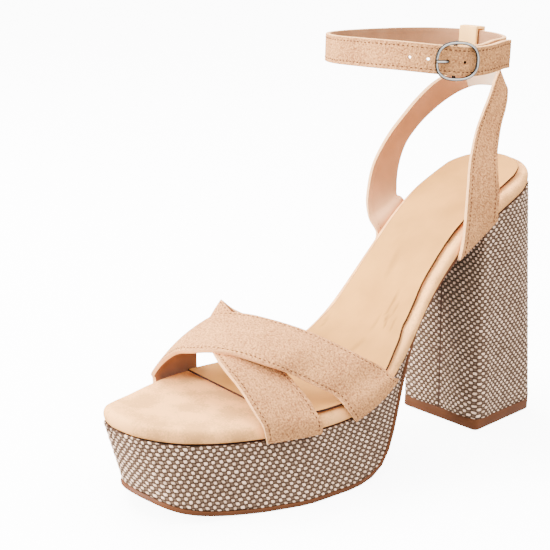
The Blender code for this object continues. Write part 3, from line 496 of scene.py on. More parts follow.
def foot_row(side, foot, level, drop):
    """A strap's row on the rand's outer face, drop mm under the footbed. side: 1 lateral, -1 medial."""
    edge = lateral_at if side > 0 else medial_at
    row = {}
    for key, name in (("f", "_front"), ("r", "_rear")):
        y = foot[level + name]
        row[key + "x"] = float(edge(y)) + side * (GAP + STRAP_THICKNESS)
        row[key + "y"] = y
        row[key + "z"] = float(footbed_top(y)) - drop
    return row


def loop_points(rows, per_span):
    """Points of a closed smooth line through a table's x and y, and the way along it at each point."""
    knots = np.column_stack([column(rows, "x"), column(rows, "y")])
    points = []
    for i in range(len(knots)):
        before, here, there, after = (knots[(i + k) % len(knots)] for k in (-1, 0, 1, 2))
        for step in range(per_span):
            t = step / per_span
            points.append(here + t * (there - before) / 2.0
                          + t * t * (before - 2.5 * here + 2.0 * there - after / 2.0)
                          + t ** 3 * (1.5 * (here - there) + (after - before) / 2.0))
    points = np.array(points + [points[0]])
    return points, way_along(points)


ANKLE_LINE, ANKLE_RUN = loop_points(ANKLE, ANKLE_STEPS)
ANKLE_GIRTH = float(ANKLE_RUN[-1])
strap_off = smooth(column(LAYERS, "at"), column(LAYERS, "off"))


def ankle_point(at, off):
    """A point in plan, at millimetres along the ankle line and off millimetres out from it."""
    places = (at + np.array([-0.5, 0.0, 0.5])) % ANKLE_GIRTH
    x = np.interp(places, ANKLE_RUN, ANKLE_LINE[:, 0])
    y = np.interp(places, ANKLE_RUN, ANKLE_LINE[:, 1])
    dx = x[2] - x[0]
    dy = y[2] - y[0]
    length = math.hypot(dx, dy)
    return x[1] + dy / length * off, y[1] - dx / length * off


def strap_point(at, off=0.0):
    """A point in plan off millimetres out from the strap's middle, which leaves the line where it laps."""
    return ankle_point(at, float(strap_off(at)) + off)


def outward(inner, outer):
    """The level direction from one plan point to another."""
    return Vector((outer[0] - inner[0], outer[1] - inner[1], 0.0)).normalized()


def buckle_place():
    """Centre of the buckle on the ankle line, and its along, up and out directions."""
    place = ankle_point(BUCKLE_AT, 0.0)
    out = outward(place, ankle_point(BUCKLE_AT, 1.0))
    up = Vector((0.0, 0.0, 1.0))
    centre = Vector((*place, ANKLE_TOP - ANKLE_STRAP_WIDTH / 2.0 - BUCKLE_DROP))
    return centre, up.cross(out), up, out


def along_strap(distance):
    """Way along the ankle line for a distance measured on the long end from the buckle."""
    places = np.linspace(-40.0, 40.0, 321)
    run = way_along(np.array([strap_point(BUCKLE_AT + at) for at in places]))
    run -= run[len(run) // 2]
    return float(np.interp(distance, run, places))


def strap_rise(at):
    """Rise of the strap at a place on the ankle line, the same for its long and its short end."""
    along = (np.asarray(at) - BUCKLE_AT + ANKLE_GIRTH / 2.0) % ANKLE_GIRTH - ANKLE_GIRTH / 2.0
    knots = column(STRAP_SAG, "at")
    rise = smooth(knots, column(STRAP_SAG, "rise"))(along)
    return np.where(np.abs(along) < knots[-1], rise, 0.0)


def table_shift():
    """How far the frame lies from the tables, in millimetres."""
    verts = np.array([v.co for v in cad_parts["insole"].data.vertices]) / MM
    toe = verts[verts[:, 1].argmin()]
    return Vector((toe[0] - TOE_POINT[0], toe[1] - TOE_POINT[1], 0.0))


SHIFT = table_shift()


def strap_line(rows, lateral_foot, medial_foot, medial_drop=FOOT_DROP):
    """The way along a strap's middle from rand to rand, and the two edges of its outer face."""
    rows = [
        foot_row(1, lateral_foot, "low", RAND_HEIGHT), foot_row(1, lateral_foot, "top", FOOT_DROP), *rows,
        foot_row(-1, medial_foot, "top", medial_drop), foot_row(-1, medial_foot, "low", RAND_HEIGHT),
    ]
    front, rear = (np.column_stack([column(rows, key + axis) for axis in "xyz"]) for key in "fr")
    return way_along((front + rear) / 2.0), front, rear


def strap_grid(run, front, rear, bow, step, across):
    """Points and outward normals of a strap's outer face: one row per station, across as shares 0 to 1."""
    at = np.linspace(0.0, run[-1], int(run[-1] / step) + 1)
    front, rear = (sampled(spline, run, edge, at) for edge in (front, rear))
    normal = np.cross(rear - front, np.gradient((front + rear) / 2.0, axis=0))
    normal /= np.linalg.norm(normal, axis=1)[:, None]
    t = np.asarray(across)[None, :, None]
    points = front[:, None] + (rear - front)[:, None] * t + normal[:, None] * bow * 4.0 * t * (1.0 - t)
    facing = np.cross(np.gradient(points, axis=1), np.gradient(points, axis=0))
    facing /= np.linalg.norm(facing, axis=2)[:, :, None]
    return at, points, facing


def ankle_grid(step, shares):
    """Points and outward normals of the ankle strap's outer face, from its tip to its short end."""
    end = BUCKLE_AT - SHORT_END_PAST_BAR - ANKLE_GIRTH
    places = np.linspace(TIP_AT, end, int((TIP_AT - end) / step) + 1)
    half = ANKLE_STRAP_THICKNESS / 2.0
    outer = np.array([strap_point(at, half) for at in places])
    inner = np.array([strap_point(at, -half) for at in places])
    normals = (outer - inner) / ANKLE_STRAP_THICKNESS
    heights = ANKLE_TOP - ANKLE_STRAP_WIDTH * (1.0 - np.asarray(shares))
    points = np.zeros((len(places), len(shares), 3))
    points[:, :, :2] = outer[:, None]
    points[:, :, 2] = heights[None, :] + strap_rise(places)[:, None]
    facing = np.zeros_like(points)
    facing[:, :, :2] = normals[:, None]
    return way_along(outer), points, facing


# ---- Modelling helpers


def only(obj):
    """Select one object and make it active."""
    bpy.ops.object.select_all(action="DESELECT")
    obj.select_set(True)
    bpy.context.view_layer.objects.active = obj


def modify(obj, kind, **settings):
    """Add a modifier with its settings and apply it."""
    only(obj)
    bpy.ops.object.modifier_add(type=kind)
    mod = obj.modifiers[-1]
    for key, value in settings.items():
        setattr(mod, key, value)
    bpy.ops.object.modifier_apply(modifier=mod.name)


def soften(obj, width, segments, angle):
    """Round the edges that are sharper than an angle in degrees, by a width in millimetres."""
    modify(obj, "BEVEL", width=width * MM, segments=segments, limit_method="ANGLE",
           angle_limit=math.radians(angle))


def thicken(obj, thickness, **settings):
    """Give a sheet its thickness in millimetres, inwards from its outer face."""
    modify(obj, "SOLIDIFY", thickness=thickness * MM, offset=-1.0, use_even_offset=False, **settings)


def edit(obj, *steps):
    """Run edit-mode steps on the whole of an object."""
    only(obj)
    bpy.ops.object.mode_set(mode="EDIT")
    bpy.ops.mesh.select_all(action="SELECT")
    for step in steps:
        step()
    bpy.ops.object.mode_set(mode="OBJECT")


def copy_node(node, name):
    """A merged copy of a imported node, in quads where it can be."""
    only(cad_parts[node])
    bpy.ops.object.duplicate()
    obj = bpy.context.object
    obj.name = name
    obj.parent = None
    obj.hide_render = False
    obj.data.materials.clear()
    edit(
        obj,
        lambda: bpy.ops.mesh.remove_doubles(threshold=0.002 * MM),
        lambda: bpy.ops.mesh.tris_convert_to_quads(face_threshold=0.5, shape_threshold=0.9),
    )
    return obj


def grid_sheet(name, points, uv, materials):
    """A grid primitive laid on rows of points in table millimetres, with its cloth coordinates."""
    rows, columns = points.shape[:2]
    bpy.ops.object.select_all(action="DESELECT")
    bpy.ops.mesh.primitive_grid_add(x_subdivisions=rows - 1, y_subdivisions=columns - 1, size=2.0)
    obj = bpy.context.object
    obj.name = name
    mesh = obj.data
    flat = np.empty(len(mesh.vertices) * 3)
    mesh.vertices.foreach_get("co", flat)
    flat = flat.reshape(-1, 3)
    i = np.rint((flat[:, 0] + 1.0) / 2.0 * (rows - 1)).astype(int)
    j = np.rint((flat[:, 1] + 1.0) / 2.0 * (columns - 1)).astype(int)
    mesh.vertices.foreach_set("co", ((points[i, j] + np.array(SHIFT)) * MM).ravel())
    corner = np.empty(len(mesh.loops), dtype=np.int32)
    mesh.loops.foreach_get("vertex_index", corner)
    layer = mesh.uv_layers.active
    layer.name = "cloth"
    layer.uv.foreach_set("vector", uv[i, j][corner].ravel())
    mesh.update()
    for material in materials:
        mesh.materials.append(material)
    return obj


def face_reach(mesh, axis):
    """Each face with the mean of its cloth coordinate along one axis."""
    cloth = mesh.uv_layers["cloth"].uv
    for face in mesh.polygons:
        yield face, sum(cloth[k].vector[axis] for k in face.loop_indices) / face.loop_total


def smooth_shade(obj, angle=40.0):
    """Smooth shading with sharp edges over an angle."""
    only(obj)
    bpy.ops.object.shade_smooth_by_angle(angle=math.radians(angle))


def dress(obj, slot, *materials):
    """Give a finished piece its materials and its body; the slot is not used."""
    for material in materials:
        obj.data.materials.append(material)
    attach(obj, "root")


def joined(name, objects):
    """Join objects into one."""
    bpy.ops.object.select_all(action="DESELECT")
    for obj in objects:
        obj.select_set(True)
    bpy.context.view_layer.objects.active = objects[0]
    bpy.ops.object.join()
    objects[0].name = name
    return objects[0]


def wire(name, points, radius, closed):
    """A round wire along table points, as a mesh with capped ends."""
    bpy.ops.object.select_all(action="DESELECT")
    bpy.ops.curve.primitive_nurbs_path_add()
    obj = bpy.context.object
    obj.name = name
    curve = obj.data
    curve.splines.clear()
    line = curve.splines.new("POLY")
    line.points.add(len(points) - 1)
    for point, place in zip(line.points, points):
        point.co = (*((Vector(place) + SHIFT) * MM), 1.0)
    line.use_cyclic_u = closed
    curve.bevel_depth = radius * MM
    curve.bevel_resolution = WIRE_RESOLUTION
    curve.use_fill_caps = not closed
    only(obj)
    bpy.ops.object.convert(target="MESH")
    return obj


# ---- Materials


def linear(color):
    """Linear RGBA of an sRGB hex colour such as E4C3A4, or of a colour already linear."""
    if not isinstance(color, str):
        return (*tuple(color)[:3], 1.0)
    parts = [int(color[i:i + 2], 16) / 255.0 for i in (0, 2, 4)]
    return (*(c / 12.92 if c <= 0.04045 else ((c + 0.055) / 1.055) ** 2.4 for c in parts), 1.0)


def darker(color, share):
    """A colour at a share of its light."""
    return tuple(c * share for c in color)


def add(tree, kind, inputs=None, **settings):
    """Add one node with its settings; each input is a value, an output, or a node for its first output."""
    node = tree.nodes.new("ShaderNode" + kind)
    for key, value in settings.items():
        setattr(node, key, value)
    for key, value in (inputs or {}).items():
        if isinstance(value, bpy.types.Node):
            value = value.outputs[0]
        if isinstance(value, bpy.types.NodeSocket):
            tree.links.new(value, node.inputs[key])
        else:
            node.inputs[key].default_value = value
    return node


def new_material(name, **shader):
    """A material with its tree, its place on the object and the constants of its Principled shader."""
    material = bpy.data.materials.new(name)
    material.use_nodes = True
    tree = material.node_tree
    for key, value in shader.items():
        tree.nodes["Principled BSDF"].inputs[key.replace("_", " ")].default_value = value
    return material, tree, add(tree, "TexCoord").outputs["Object"]


def shaded(tree, dark, light, tone, low, high):
    """A colour that goes from dark to light as a tone goes from low to high."""
    share = add(tree, "MapRange", {0: tone, 1: low, 2: high})
    return add(tree, "Mix", {0: share, 6: dark, 7: light}, data_type="RGBA").outputs[2]


def finished(material, color, bump=None):
    """A material with its colour, and with its relief where it has one."""
    tree = material.node_tree
    shader = tree.nodes["Principled BSDF"]
    tree.links.new(color, shader.inputs["Base Color"])
    if bump:
        tree.links.new(bump.outputs[0], shader.inputs["Normal"])
    return material


def faux_suede(name, light, dark, depth=0.6, mottle=0.25):
    """Microfibre faux suede, brushed: short dull nap over a finely pebbled cloth.

    The nap scatters light and has almost no gloss. The pebbles stand in relief, painted light on their tops
    and painted shade in the darker valleys between them; depth is theirs, in millimetres.
    """
    material, tree, place = new_material(name, Roughness=0.95, Sheen_Weight=0.12, Sheen_Roughness=0.5,
                                         Sheen_Tint=linear(light), Specular_IOR_Level=0.04)
    stray = add(tree, "TexNoise", {"Vector": place, "Scale": 1.0 / (2.4 * MM), "Detail": 2.0})
    bend = add(tree, "VectorMath", {0: stray.outputs["Color"], 3: PEBBLE_BEND * MM}, operation="SCALE")
    bent = add(tree, "VectorMath", {0: place, 1: bend}, operation="ADD")
    pebbles = add(tree, "TexVoronoi", {"Vector": bent, "Scale": 1.0 / (PEBBLE * MM)}, feature="F1")
    nap = add(tree, "TexNoise", {"Vector": place, "Scale": 1.0 / (NAP * MM), "Detail": 3.0})
    cloud = add(tree, "TexNoise", {"Vector": place, "Scale": 1.0 / (12.0 * MM), "Detail": 3.0})
    top = add(tree, "MapRange", {0: pebbles.outputs["Distance"], 1: 0.85, 2: 0.25})
    soft_top = add(tree, "Math", {0: top, 1: PEBBLE_SHOW}, operation="MULTIPLY")
    height = add(tree, "Math", {0: soft_top, 1: nap}, operation="ADD")
    haze = add(tree, "Math", {0: cloud, 1: mottle}, operation="MULTIPLY")
    # Painted light and shade: the pebbles' tops are paler and their valleys darker, over the nap's and the
    # clouds' own tone
    tone = add(tree, "Math", {0: height, 1: haze}, operation="ADD")
    middle = (1.0 + PEBBLE_SHOW + mottle) / 2.0
    color = shaded(tree, linear(dark), linear(light), tone, middle - TONE_SPREAD, middle + TONE_SPREAD)
    bump = add(tree, "Bump", {"Height": height, "Strength": 1.0, "Distance": depth * MM})
    return finished(material, color, bump)


def smooth_synthetic(name, light, dark, roughness=0.6, grain=0.4, depth=0.02, painted_crease_shade=False):
    """Coated synthetic lining, rolled smooth: faint pores and a soft satin gloss.

    A creased one has painted shade along its creases, whose depth its crease attribute gives in millimetres.
    """
    material, tree, place = new_material(name, Roughness=roughness, Specular_IOR_Level=0.08)
    pores = add(tree, "TexNoise", {"Vector": place, "Scale": 1.0 / (grain * MM), "Detail": 4.0})
    cloud = add(tree, "TexNoise", {"Vector": place, "Scale": 1.0 / (18.0 * MM), "Detail": 3.0})
    color = shaded(tree, linear(dark), linear(light), cloud, 0.3, 0.65)
    if painted_crease_shade:
        crease = add(tree, "Attribute", attribute_name="crease").outputs["Fac"]
        # Painted shade: darker along the creases, the deeper the darker
        color = shaded(tree, color, linear(darker(light, 0.45)), crease, 0.08, 0.7)
    bump = add(tree, "Bump", {"Height": pores, "Strength": 0.6, "Distance": depth * MM})
    return finished(material, color, bump)


def plain_cut_edge(name, light, dark):
    """Cut edge of bonded suede and lining: paler, dry and a little fibrous."""
    material, tree, place = new_material(name, Roughness=0.85, Specular_IOR_Level=0.05)
    fibre = add(tree, "TexNoise", {"Vector": place, "Scale": 1.0 / (0.6 * MM), "Detail": 3.0})
    color = shaded(tree, linear(dark), linear(light), fibre, 0.3, 0.6)
    bump = add(tree, "Bump", {"Height": fibre, "Strength": 0.5, "Distance": 0.05 * MM})
    return finished(material, color, bump)


def basket_weave(name, pale, shade, ground):
    """Chunky basket weave of slubby off-white yarn over dark brown yarn.

    The cloth coordinates count yarns, so whole numbers part one crossing from the next: pale yarn lies on
    top at every other crossing and the dark yarn at the rest.
    """
    material, tree, place = new_material(name, Roughness=0.8, Specular_IOR_Level=0.05)
    counts = add(tree, "SeparateXYZ", {0: add(tree, "UVMap", uv_map="cloth")})
    cells = []
    waves = []
    for count in counts.outputs[:2]:
        cells.append(add(tree, "Math", {0: count}, operation="FLOOR"))
        turn = add(tree, "Math", {0: count, 1: math.pi}, operation="MULTIPLY")
        wave = add(tree, "Math", {0: turn}, operation="SINE")
        waves.append(add(tree, "Math", {0: wave}, operation="ABSOLUTE"))
    full = add(tree, "Math", {0: waves[0]}, operation="SQRT")
    hump = add(tree, "Math", {0: full, 1: waves[1]}, operation="MULTIPLY")
    total = add(tree, "Math", {0: cells[0], 1: cells[1]}, operation="ADD")
    under = add(tree, "Math", {0: total, 1: 2.0}, operation="FLOORED_MODULO")
    over = add(tree, "Math", {0: 1.0, 1: under}, operation="SUBTRACT")
    knob = add(tree, "Math", {0: hump, 1: over}, operation="MULTIPLY")
    which = add(tree, "CombineXYZ", {0: cells[0], 1: cells[1]})
    chance = add(tree, "TexWhiteNoise", {"Vector": which}, noise_dimensions="2D")
    worn = add(tree, "Math", {0: chance.outputs["Value"], 1: YARN_WEAR}, operation="MULTIPLY")
    lit = add(tree, "Math", {0: knob, 1: worn}, operation="SUBTRACT")
    # Painted light and shade: each pale knot goes from the shade colour at its edges to pale on its top
    yarn = shaded(tree, linear(shade), linear(pale), lit, -0.1, 0.75)
    fibre = add(tree, "TexNoise", {"Vector": place, "Scale": 1.0 / (0.35 * MM), "Detail": 2.0})
    # The dark yarn is painted lighter on its humps as well, by the fibre noise: slub and painted light on
    # its crests
    slub = add(tree, "Math", {0: hump, 1: fibre}, operation="MULTIPLY")
    dark = shaded(tree, linear(ground), linear(shade), slub, 0.1, 1.1)
    color = shaded(tree, dark, yarn, knob, 0.14, 0.34)
    bump = add(tree, "Bump", {"Height": fibre, "Strength": 0.5, "Distance": 0.08 * MM})
    return finished(material, color, bump)


def dark_ground(name, color):
    """Backing cloth under the weave, seen only between the yarns: dull and dark."""
    material, tree, place = new_material(name, Roughness=0.95, Specular_IOR_Level=0.02)
    fibre = add(tree, "TexNoise", {"Vector": place, "Scale": 1.0 / (0.5 * MM), "Detail": 2.0})
    return finished(material, shaded(tree, linear(color), linear("6B5447"), fibre, 0.3, 0.9))


def moulded_rubber(name, light, dark):
    """Moulded thermoplastic rubber: satin, faintly mottled, with a ribbed tread on its underside."""
    material, tree, place = new_material(name, Roughness=0.5, Specular_IOR_Level=0.12)
    mottle = add(tree, "TexNoise", {"Vector": place, "Scale": 1.0 / (9.0 * MM), "Detail": 4.0})
    color = shaded(tree, linear(dark), linear(light), mottle, 0.3, 0.65)
    normal = add(tree, "SeparateXYZ", {0: add(tree, "NewGeometry").outputs["Normal"]})
    under = add(tree, "MapRange", {0: normal.outputs[2], 1: -0.7, 2: -0.9})
    ribs = add(tree, "TexWave", {"Vector": place, "Scale": 1.0 / (TREAD_SPAN * MM), "Distortion": 0.0},
               wave_type="BANDS", bands_direction="DIAGONAL", wave_profile="SIN")
    rib = add(tree, "Math", {0: ribs.outputs["Fac"], 1: under}, operation="MULTIPLY")
    tread = add(tree, "Math", {0: rib, 1: TREAD_RISE}, operation="MULTIPLY")
    skin = add(tree, "TexNoise", {"Vector": place, "Scale": 1.0 / (0.5 * MM), "Detail": 2.0})
    height = add(tree, "Math", {0: tread, 1: skin}, operation="ADD")
    bump = add(tree, "Bump", {"Height": height, "Strength": 0.5, "Distance": 0.06 * MM})
    return finished(material, color, bump)


def polished_nickel(name, out):
    """Nickel-plated zinc, tumbled and polished, with the faintest haze; painted bright on its front.

    Its flanks, away from the out direction, are painted dark: its colour holds a painted reflection.
    """
    material, tree, place = new_material(name, Metallic=1.0)
    normal = add(tree, "NewGeometry").outputs["Normal"]
    facing = add(tree, "VectorMath", {0: normal, 1: out}, operation="DOT_PRODUCT").outputs["Value"]
    haze = add(tree, "TexNoise", {"Vector": place, "Scale": 1.0 / (1.5 * MM), "Detail": 4.0})
    rough = add(tree, "MapRange", {0: haze, 1: 0.3, 2: 0.7, 3: 0.05, 4: 0.14})
    tree.links.new(rough.outputs[0], tree.nodes["Principled BSDF"].inputs["Roughness"])
    # Painted reflection: dark where the normal turns away from the out direction, bright where it faces it
    return finished(material, shaded(tree, linear("1E1B19"), linear("F2EEE8"), facing, 0.80, 0.98))


def twisted_thread(name, light, dark):
    """Twisted polyester thread: fine, with a slight shine along its ply."""
    material, tree, place = new_material(name, Roughness=0.6, Specular_IOR_Level=0.08)
    ply = add(tree, "TexNoise", {"Vector": place, "Scale": 1.0 / (0.4 * MM), "Detail": 1.0})
    color = shaded(tree, linear(dark), linear(light), ply, 0.35, 0.6)
    bump = add(tree, "Bump", {"Height": ply, "Strength": 0.4, "Distance": 0.05 * MM})
    return finished(material, color, bump)


def studio_sweep(name):
    """Matt white acrylic, lit from below as well as above: it shows as an even, almost white ground."""
    material, tree, place = new_material(name, Roughness=0.9, Specular_IOR_Level=0.0,
                                         Emission_Color=WHITE, Emission_Strength=FLOOR_GLOW)
    cloud = add(tree, "TexNoise", {"Vector": place, "Scale": 3.0, "Detail": 2.0})
    return finished(material, shaded(tree, linear("F4F4F4"), linear("F8F8F8"), cloud, 0.0, 1.0))


# ---- Sizes and colours


def color_property(name, description, hex_color):
    """A colour that a user can change, from its sRGB hex value."""
    return FloatVectorProperty(
        name=name, description=description, subtype="COLOR", size=3, min=0.0, max=1.0,
        default=linear(hex_color)[:3]
    )


def length_property(name, description, millimetres):
    """A length that a user can change, from millimetres."""
    return FloatProperty(
        name=name, description=description, subtype="DISTANCE", unit="LENGTH", min=0.0,
        default=millimetres * MM, precision=5
    )


class SandalStitching(bpy.types.PropertyGroup):
    """Stitch sizes."""

    pitch: length_property("Stitch pitch", "Distance from one stitch to the next", 2.0)
    length: length_property("Stitch length", "Length of thread seen in one stitch", 1.15)
    inset: length_property("Stitch inset", "Distance of the stitch line from the strap's edge", 1.7)
    thread: length_property("Thread thickness", "Thickness of the thread", 0.5)
    color: color_property("Thread", "Colour of the thread", "5E3C28")


class SandalCloth(bpy.types.PropertyGroup):
    """Weave sizes and colours."""

    pitch: length_property("Yarn pitch", "Distance from one yarn to the next", 1.65)
    relief: length_property("Weave relief", "How far the pale yarn stands out", 0.5)
    pale: color_property("Pale yarn", "Colour of the pale yarn", "FBD6BA")
    # The pale yarn's painted shade, at the edges of its knots
    shade: color_property("Pale yarn, darker", "Colour of the pale yarn where it is darker", "947A64")
    ground: color_property("Dark yarn", "Colour of the dark yarn", "402E24")


class SandalLeather(bpy.types.PropertyGroup):
    """Suede, sock and sole colours."""

    suede: color_property("Suede", "Colour of the strap suede", "E0A066")
    # The dark end also gives the painted shade in the pebbles' valleys
    suede_dark: color_property("Suede, darker", "Colour of the strap suede against its nap", "9A6642")
    footbed: color_property("Footbed suede", "Colour of the suede over the footbed", "FBB670")
    sock: color_property("Sock", "Colour of the sock lining", "CA8D44")
    sole: color_property("Sole", "Colour of the rubber sole and top piece", "603820")


# ---- Straps and stitches


def strap_materials(lining):
    """Suede, lining and cut edge for the straps; the vamp's lining is darker than the sling's, partly its
    own browner tone and partly painted shade under the vamp.
    """
    leather = bpy.context.scene.sandal_leather
    if not bpy.data.materials.get("strap_faux_suede"):
        faux_suede("strap_faux_suede", leather.suede, leather.suede_dark)
        smooth_synthetic("pale_strap_lining", "CC946A", "B8845A", roughness=0.8, grain=0.9, depth=0.15)
        # Painted shade: the vamp's brown lining is partly its own browner tone and partly painted shade of
        # the hollow under the vamp
        smooth_synthetic("brown_strap_lining", "97725D", "85624E")
        smooth_synthetic("tan_strap_lining", "AA7C5A", "966A4A", grain=0.9, depth=0.15)
        smooth_synthetic("back_stay_lining", "FBE0C0", "F6D6B2")
        plain_cut_edge("strap_cut_edge", "EBB680", "DCA068")
    names = ("strap_faux_suede", lining + "_strap_lining", "strap_cut_edge", "back_stay_lining")
    return [bpy.data.materials[name] for name in names]


def thread_material():
    """The stitching thread's finish."""
    found = bpy.data.materials.get("tan_polyester_thread")
    if found:
        return found
    color = bpy.context.scene.sandal_stitching.color
    return twisted_thread("tan_polyester_thread", color, darker(color, 0.7))


def across_shares(width):
    """Shares across a strap, close together at its edges and round its stitch lines."""
    line = bpy.context.scene.sandal_stitching.inset / MM
    near = [0.0, 0.4, 0.9, line - 0.35, line, line + 0.35, 3.2, 4.6]
    near = [n for n in near if n < width * 0.45]
    middle = list(np.linspace(near[-1], width - near[-1], 7)[1:-1])
    return np.array(near + middle + [width - n for n in near[::-1]]) / width


def strap_band(name, grid, shares, width, thickness, groove, lining):
    """A band in suede over its lining, with a stitch groove along both edges."""
    way, points, facing = grid
    inset = bpy.context.scene.sandal_stitching.inset / MM
    gap = np.minimum(shares, 1.0 - shares) * width - inset
    points = points - facing * (groove * np.exp(-(gap / GROOVE_WIDTH) ** 2))[None, :, None]
    uv = np.stack(np.meshgrid(way * MM, shares * width * MM, indexing="ij"), axis=2)
    band = grid_sheet(name, points[:, ::-1], uv[:, ::-1], strap_materials(lining))
    thicken(band, thickness, material_offset=1, material_offset_rim=2)
    soften(band, width=0.45, segments=3, angle=50.0)
    return band


def strap_piece(name, line, bow, width, lining):
    """A strap of the vamp or the sling along its line."""
    shares = across_shares(width)
    grid = strap_grid(*line, bow, STRAP_STEP, shares)
    band = strap_band(name, grid, shares, width, STRAP_THICKNESS, STRAP_GROOVE, lining)
    smooth_shade(band, angle=60.0)
    return band


def stitch_model():
    """One stitch along x: a short rounded thread, thin and long."""
    stitching = bpy.context.scene.sandal_stitching
    bpy.ops.object.select_all(action="DESELECT")
    bpy.ops.mesh.primitive_uv_sphere_add(
        segments=8, ring_count=4, radius=0.5, rotation=(0.0, math.pi / 2.0, 0.0),
        scale=(stitching.thread, stitching.thread, stitching.length)
    )
    bpy.ops.object.transform_apply(location=True, rotation=True, scale=True)
    bpy.ops.object.shade_smooth()
    return bpy.context.object


def between(at, way, values):
    """A vector interpolated between rows of values, at a way along them."""
    return Vector([np.interp(at, way, values[:, c]) for c in range(3)])


def sew(name, runs):
    """Lay copies of a stitch along runs of (points, normals) in table millimetres, and join them."""
    pitch = bpy.context.scene.sandal_stitching.pitch / MM
    model = stitch_model()
    stitches = []
    for points, normals in runs:
        way = way_along(points)
        for at in np.arange(pitch, way[-1] - pitch, pitch):
            place = between(at, way, points)
            ahead = (between(at + STITCH_AIM, way, points) - place).normalized()
            side = between(at, way, normals).cross(ahead).normalized()
            up = ahead.cross(side)
            stitch = model.copy()
            stitch.data = model.data.copy()
            bpy.context.scene.collection.objects.link(stitch)
            matrix = Matrix((ahead, side, up)).transposed().to_4x4()
            matrix.translation = (place - up * STITCH_SINK + SHIFT) * MM
            stitch.matrix_world = matrix
            stitches.append(stitch)
    bpy.data.objects.remove(model, do_unlink=True)
    bpy.context.view_layer.update()
    seam = joined(name, stitches)
    bpy.ops.object.transform_apply(location=True, rotation=True, scale=True)
    return seam


def sunk_runs(points, facing, columns):
    """Stitch runs along columns of a strap's grid, a little under its face."""
    return [(points[:, k] - facing[:, k] * STITCH_SINK, facing[:, k]) for k in columns]


def edge_runs(line, bow, width):
    """Stitch runs along both edges of a strap."""
    inset = bpy.context.scene.sandal_stitching.inset / MM / width
    grid = strap_grid(*line, bow, 1.0, (0.0, inset, 0.5, 1.0 - inset, 1.0))
    return sunk_runs(*grid[1:], (1, 3))


def inner_runs(runs, thickness):
    """The same stitch runs where they come through on the strap's lining."""
    return [(points - normals * (thickness - 2.0 * STITCH_SINK), -normals) for points, normals in runs]


# ---- Woven covers


def weave_heights(yarns):
    """Height of the weave, 0 to 1, at cloth coordinates counted in yarns; its knots differ in thickness."""
    cell = np.floor(yarns)
    over = (cell.sum(axis=-1) % 2.0) == 0.0
    hump = np.sqrt(np.abs(np.sin(math.pi * yarns[..., 0]))) * np.abs(np.sin(math.pi * yarns[..., 1]))
    scatter = np.sin(cell[..., 0] * 12.99 + cell[..., 1] * 78.23) * 43.76
    thick = THINNEST_KNOT + (1.0 - THINNEST_KNOT) * (scatter - np.floor(scatter))
    return np.where(over, thick * np.sqrt(hump), DARK_YARN * hump)


def yarn_wander(across, up):
    """How far the yarns stray from straight lines, in yarns."""
    slow = 0.12 * np.sin(up / 7.0 + across / 13.0) + 0.09 * np.sin(across / 5.0 - up / 11.0)
    quick = 0.07 * np.sin(across * 1.31 + 2.1 * np.sin(up / 3.0)) + 0.05 * np.sin(up * 1.7 - across / 2.3)
    return slow + quick


def woven_cover(name, low, high, seam, samples, material):
    """A woven cloth wrapped over a side, given as its lower and upper edge lines in table millimetres."""
    cloth = bpy.context.scene.sandal_cloth
    pitch = cloth.pitch / MM
    run = way_along((low + high) / 2.0)
    tall = float(np.linalg.norm(high - low, axis=1).max())
    at = np.linspace(seam, run[-1] - seam, int(run[-1] / pitch * samples))
    lower, upper = (sampled(spline, run, line, at)[:, None] for line in (low, high))
    t = np.linspace(0.0, 1.0, int(tall / pitch * samples))[None, :, None]
    points = lower * (1.0 - t) + upper * t
    normal = np.cross(np.gradient(points, axis=0), np.gradient(points, axis=1))
    normal /= np.maximum(np.linalg.norm(normal, axis=2), 1e-9)[:, :, None]
    across = np.broadcast_to(at[:, None], points.shape[:2])
    up = points[:, :, 2]
    wander = yarn_wander(across, up)
    yarns = np.stack([across / pitch + wander, up / pitch + 0.7 * wander[:, ::-1]], axis=2)
    points = points + normal * (COVER_STAND + cloth.relief / MM * weave_heights(yarns))[:, :, None]
    points, normal, yarns = (
        np.pad(part, ((1, 1), (1, 1), (0, 0)), mode="edge") for part in (points, normal, yarns)
    )
    for rim in ((0, slice(None)), (-1, slice(None)), (slice(None), 0), (slice(None), -1)):
        points[rim] -= normal[rim] * COVER_TURN_IN
    return grid_sheet(name, points, yarns, (material,))


def heel_lines():
    """The heel's lower and upper edge lines, from the middle of the breast round to it again."""
    foot = heel_foot_loop()
    seat = heel_seat_loop(foot)
    low = np.column_stack([foot, np.full(len(foot), TOP_PIECE_HEIGHT + GAP)])
    high = np.column_stack([seat, footbed_top(seat[:, 1]) - RAND_HEIGHT - GAP])
    lines = []
    for line in (low, high):
        middle = (line[0] + line[-1]) / 2.0
        lines.append(np.concatenate([[middle], line, [middle]]))
    return lines


def platform_lines():
    """The platform's lower and upper edge lines, from the medial waist round the toe to the lateral one."""
    ys, zs, lateral, medial, up = sole_stations()
    count = int(np.argmax(ys > PLATFORM_REAR_Y))
    stand = OUTSOLE_THICKNESS + GAP
    low_y = (ys + up[:, 0] * stand)[:count]
    low_z = (zs + up[:, 1] * stand)[:count]
    high_y = y_of(np.linspace(0.0, float(turn_of(low_y[-1])), count))
    high_y[0] += PLATFORM_SETBACK
    high_z = footbed_top(high_y) - RAND_HEIGHT - PLATFORM_TOP_GAP
    sides = []
    for sign, edge, wall in ((-1.0, lateral, lateral_at), (1.0, medial, medial_at)):
        low = np.column_stack([edge[:count] + sign * PLATFORM_SETBACK, low_y, low_z])
        high = np.column_stack([wall(high_y) + sign * PLATFORM_TOP_SETBACK, high_y, high_z])
        sides.append((low, high))
    lines = []
    for left, right in zip(*sides):
        tip = (left[0] + right[0]) / 2.0
        lines.append(np.concatenate([left[:0:-1], [tip], right[1:]])[::-1])
    return lines


# ---- Sock


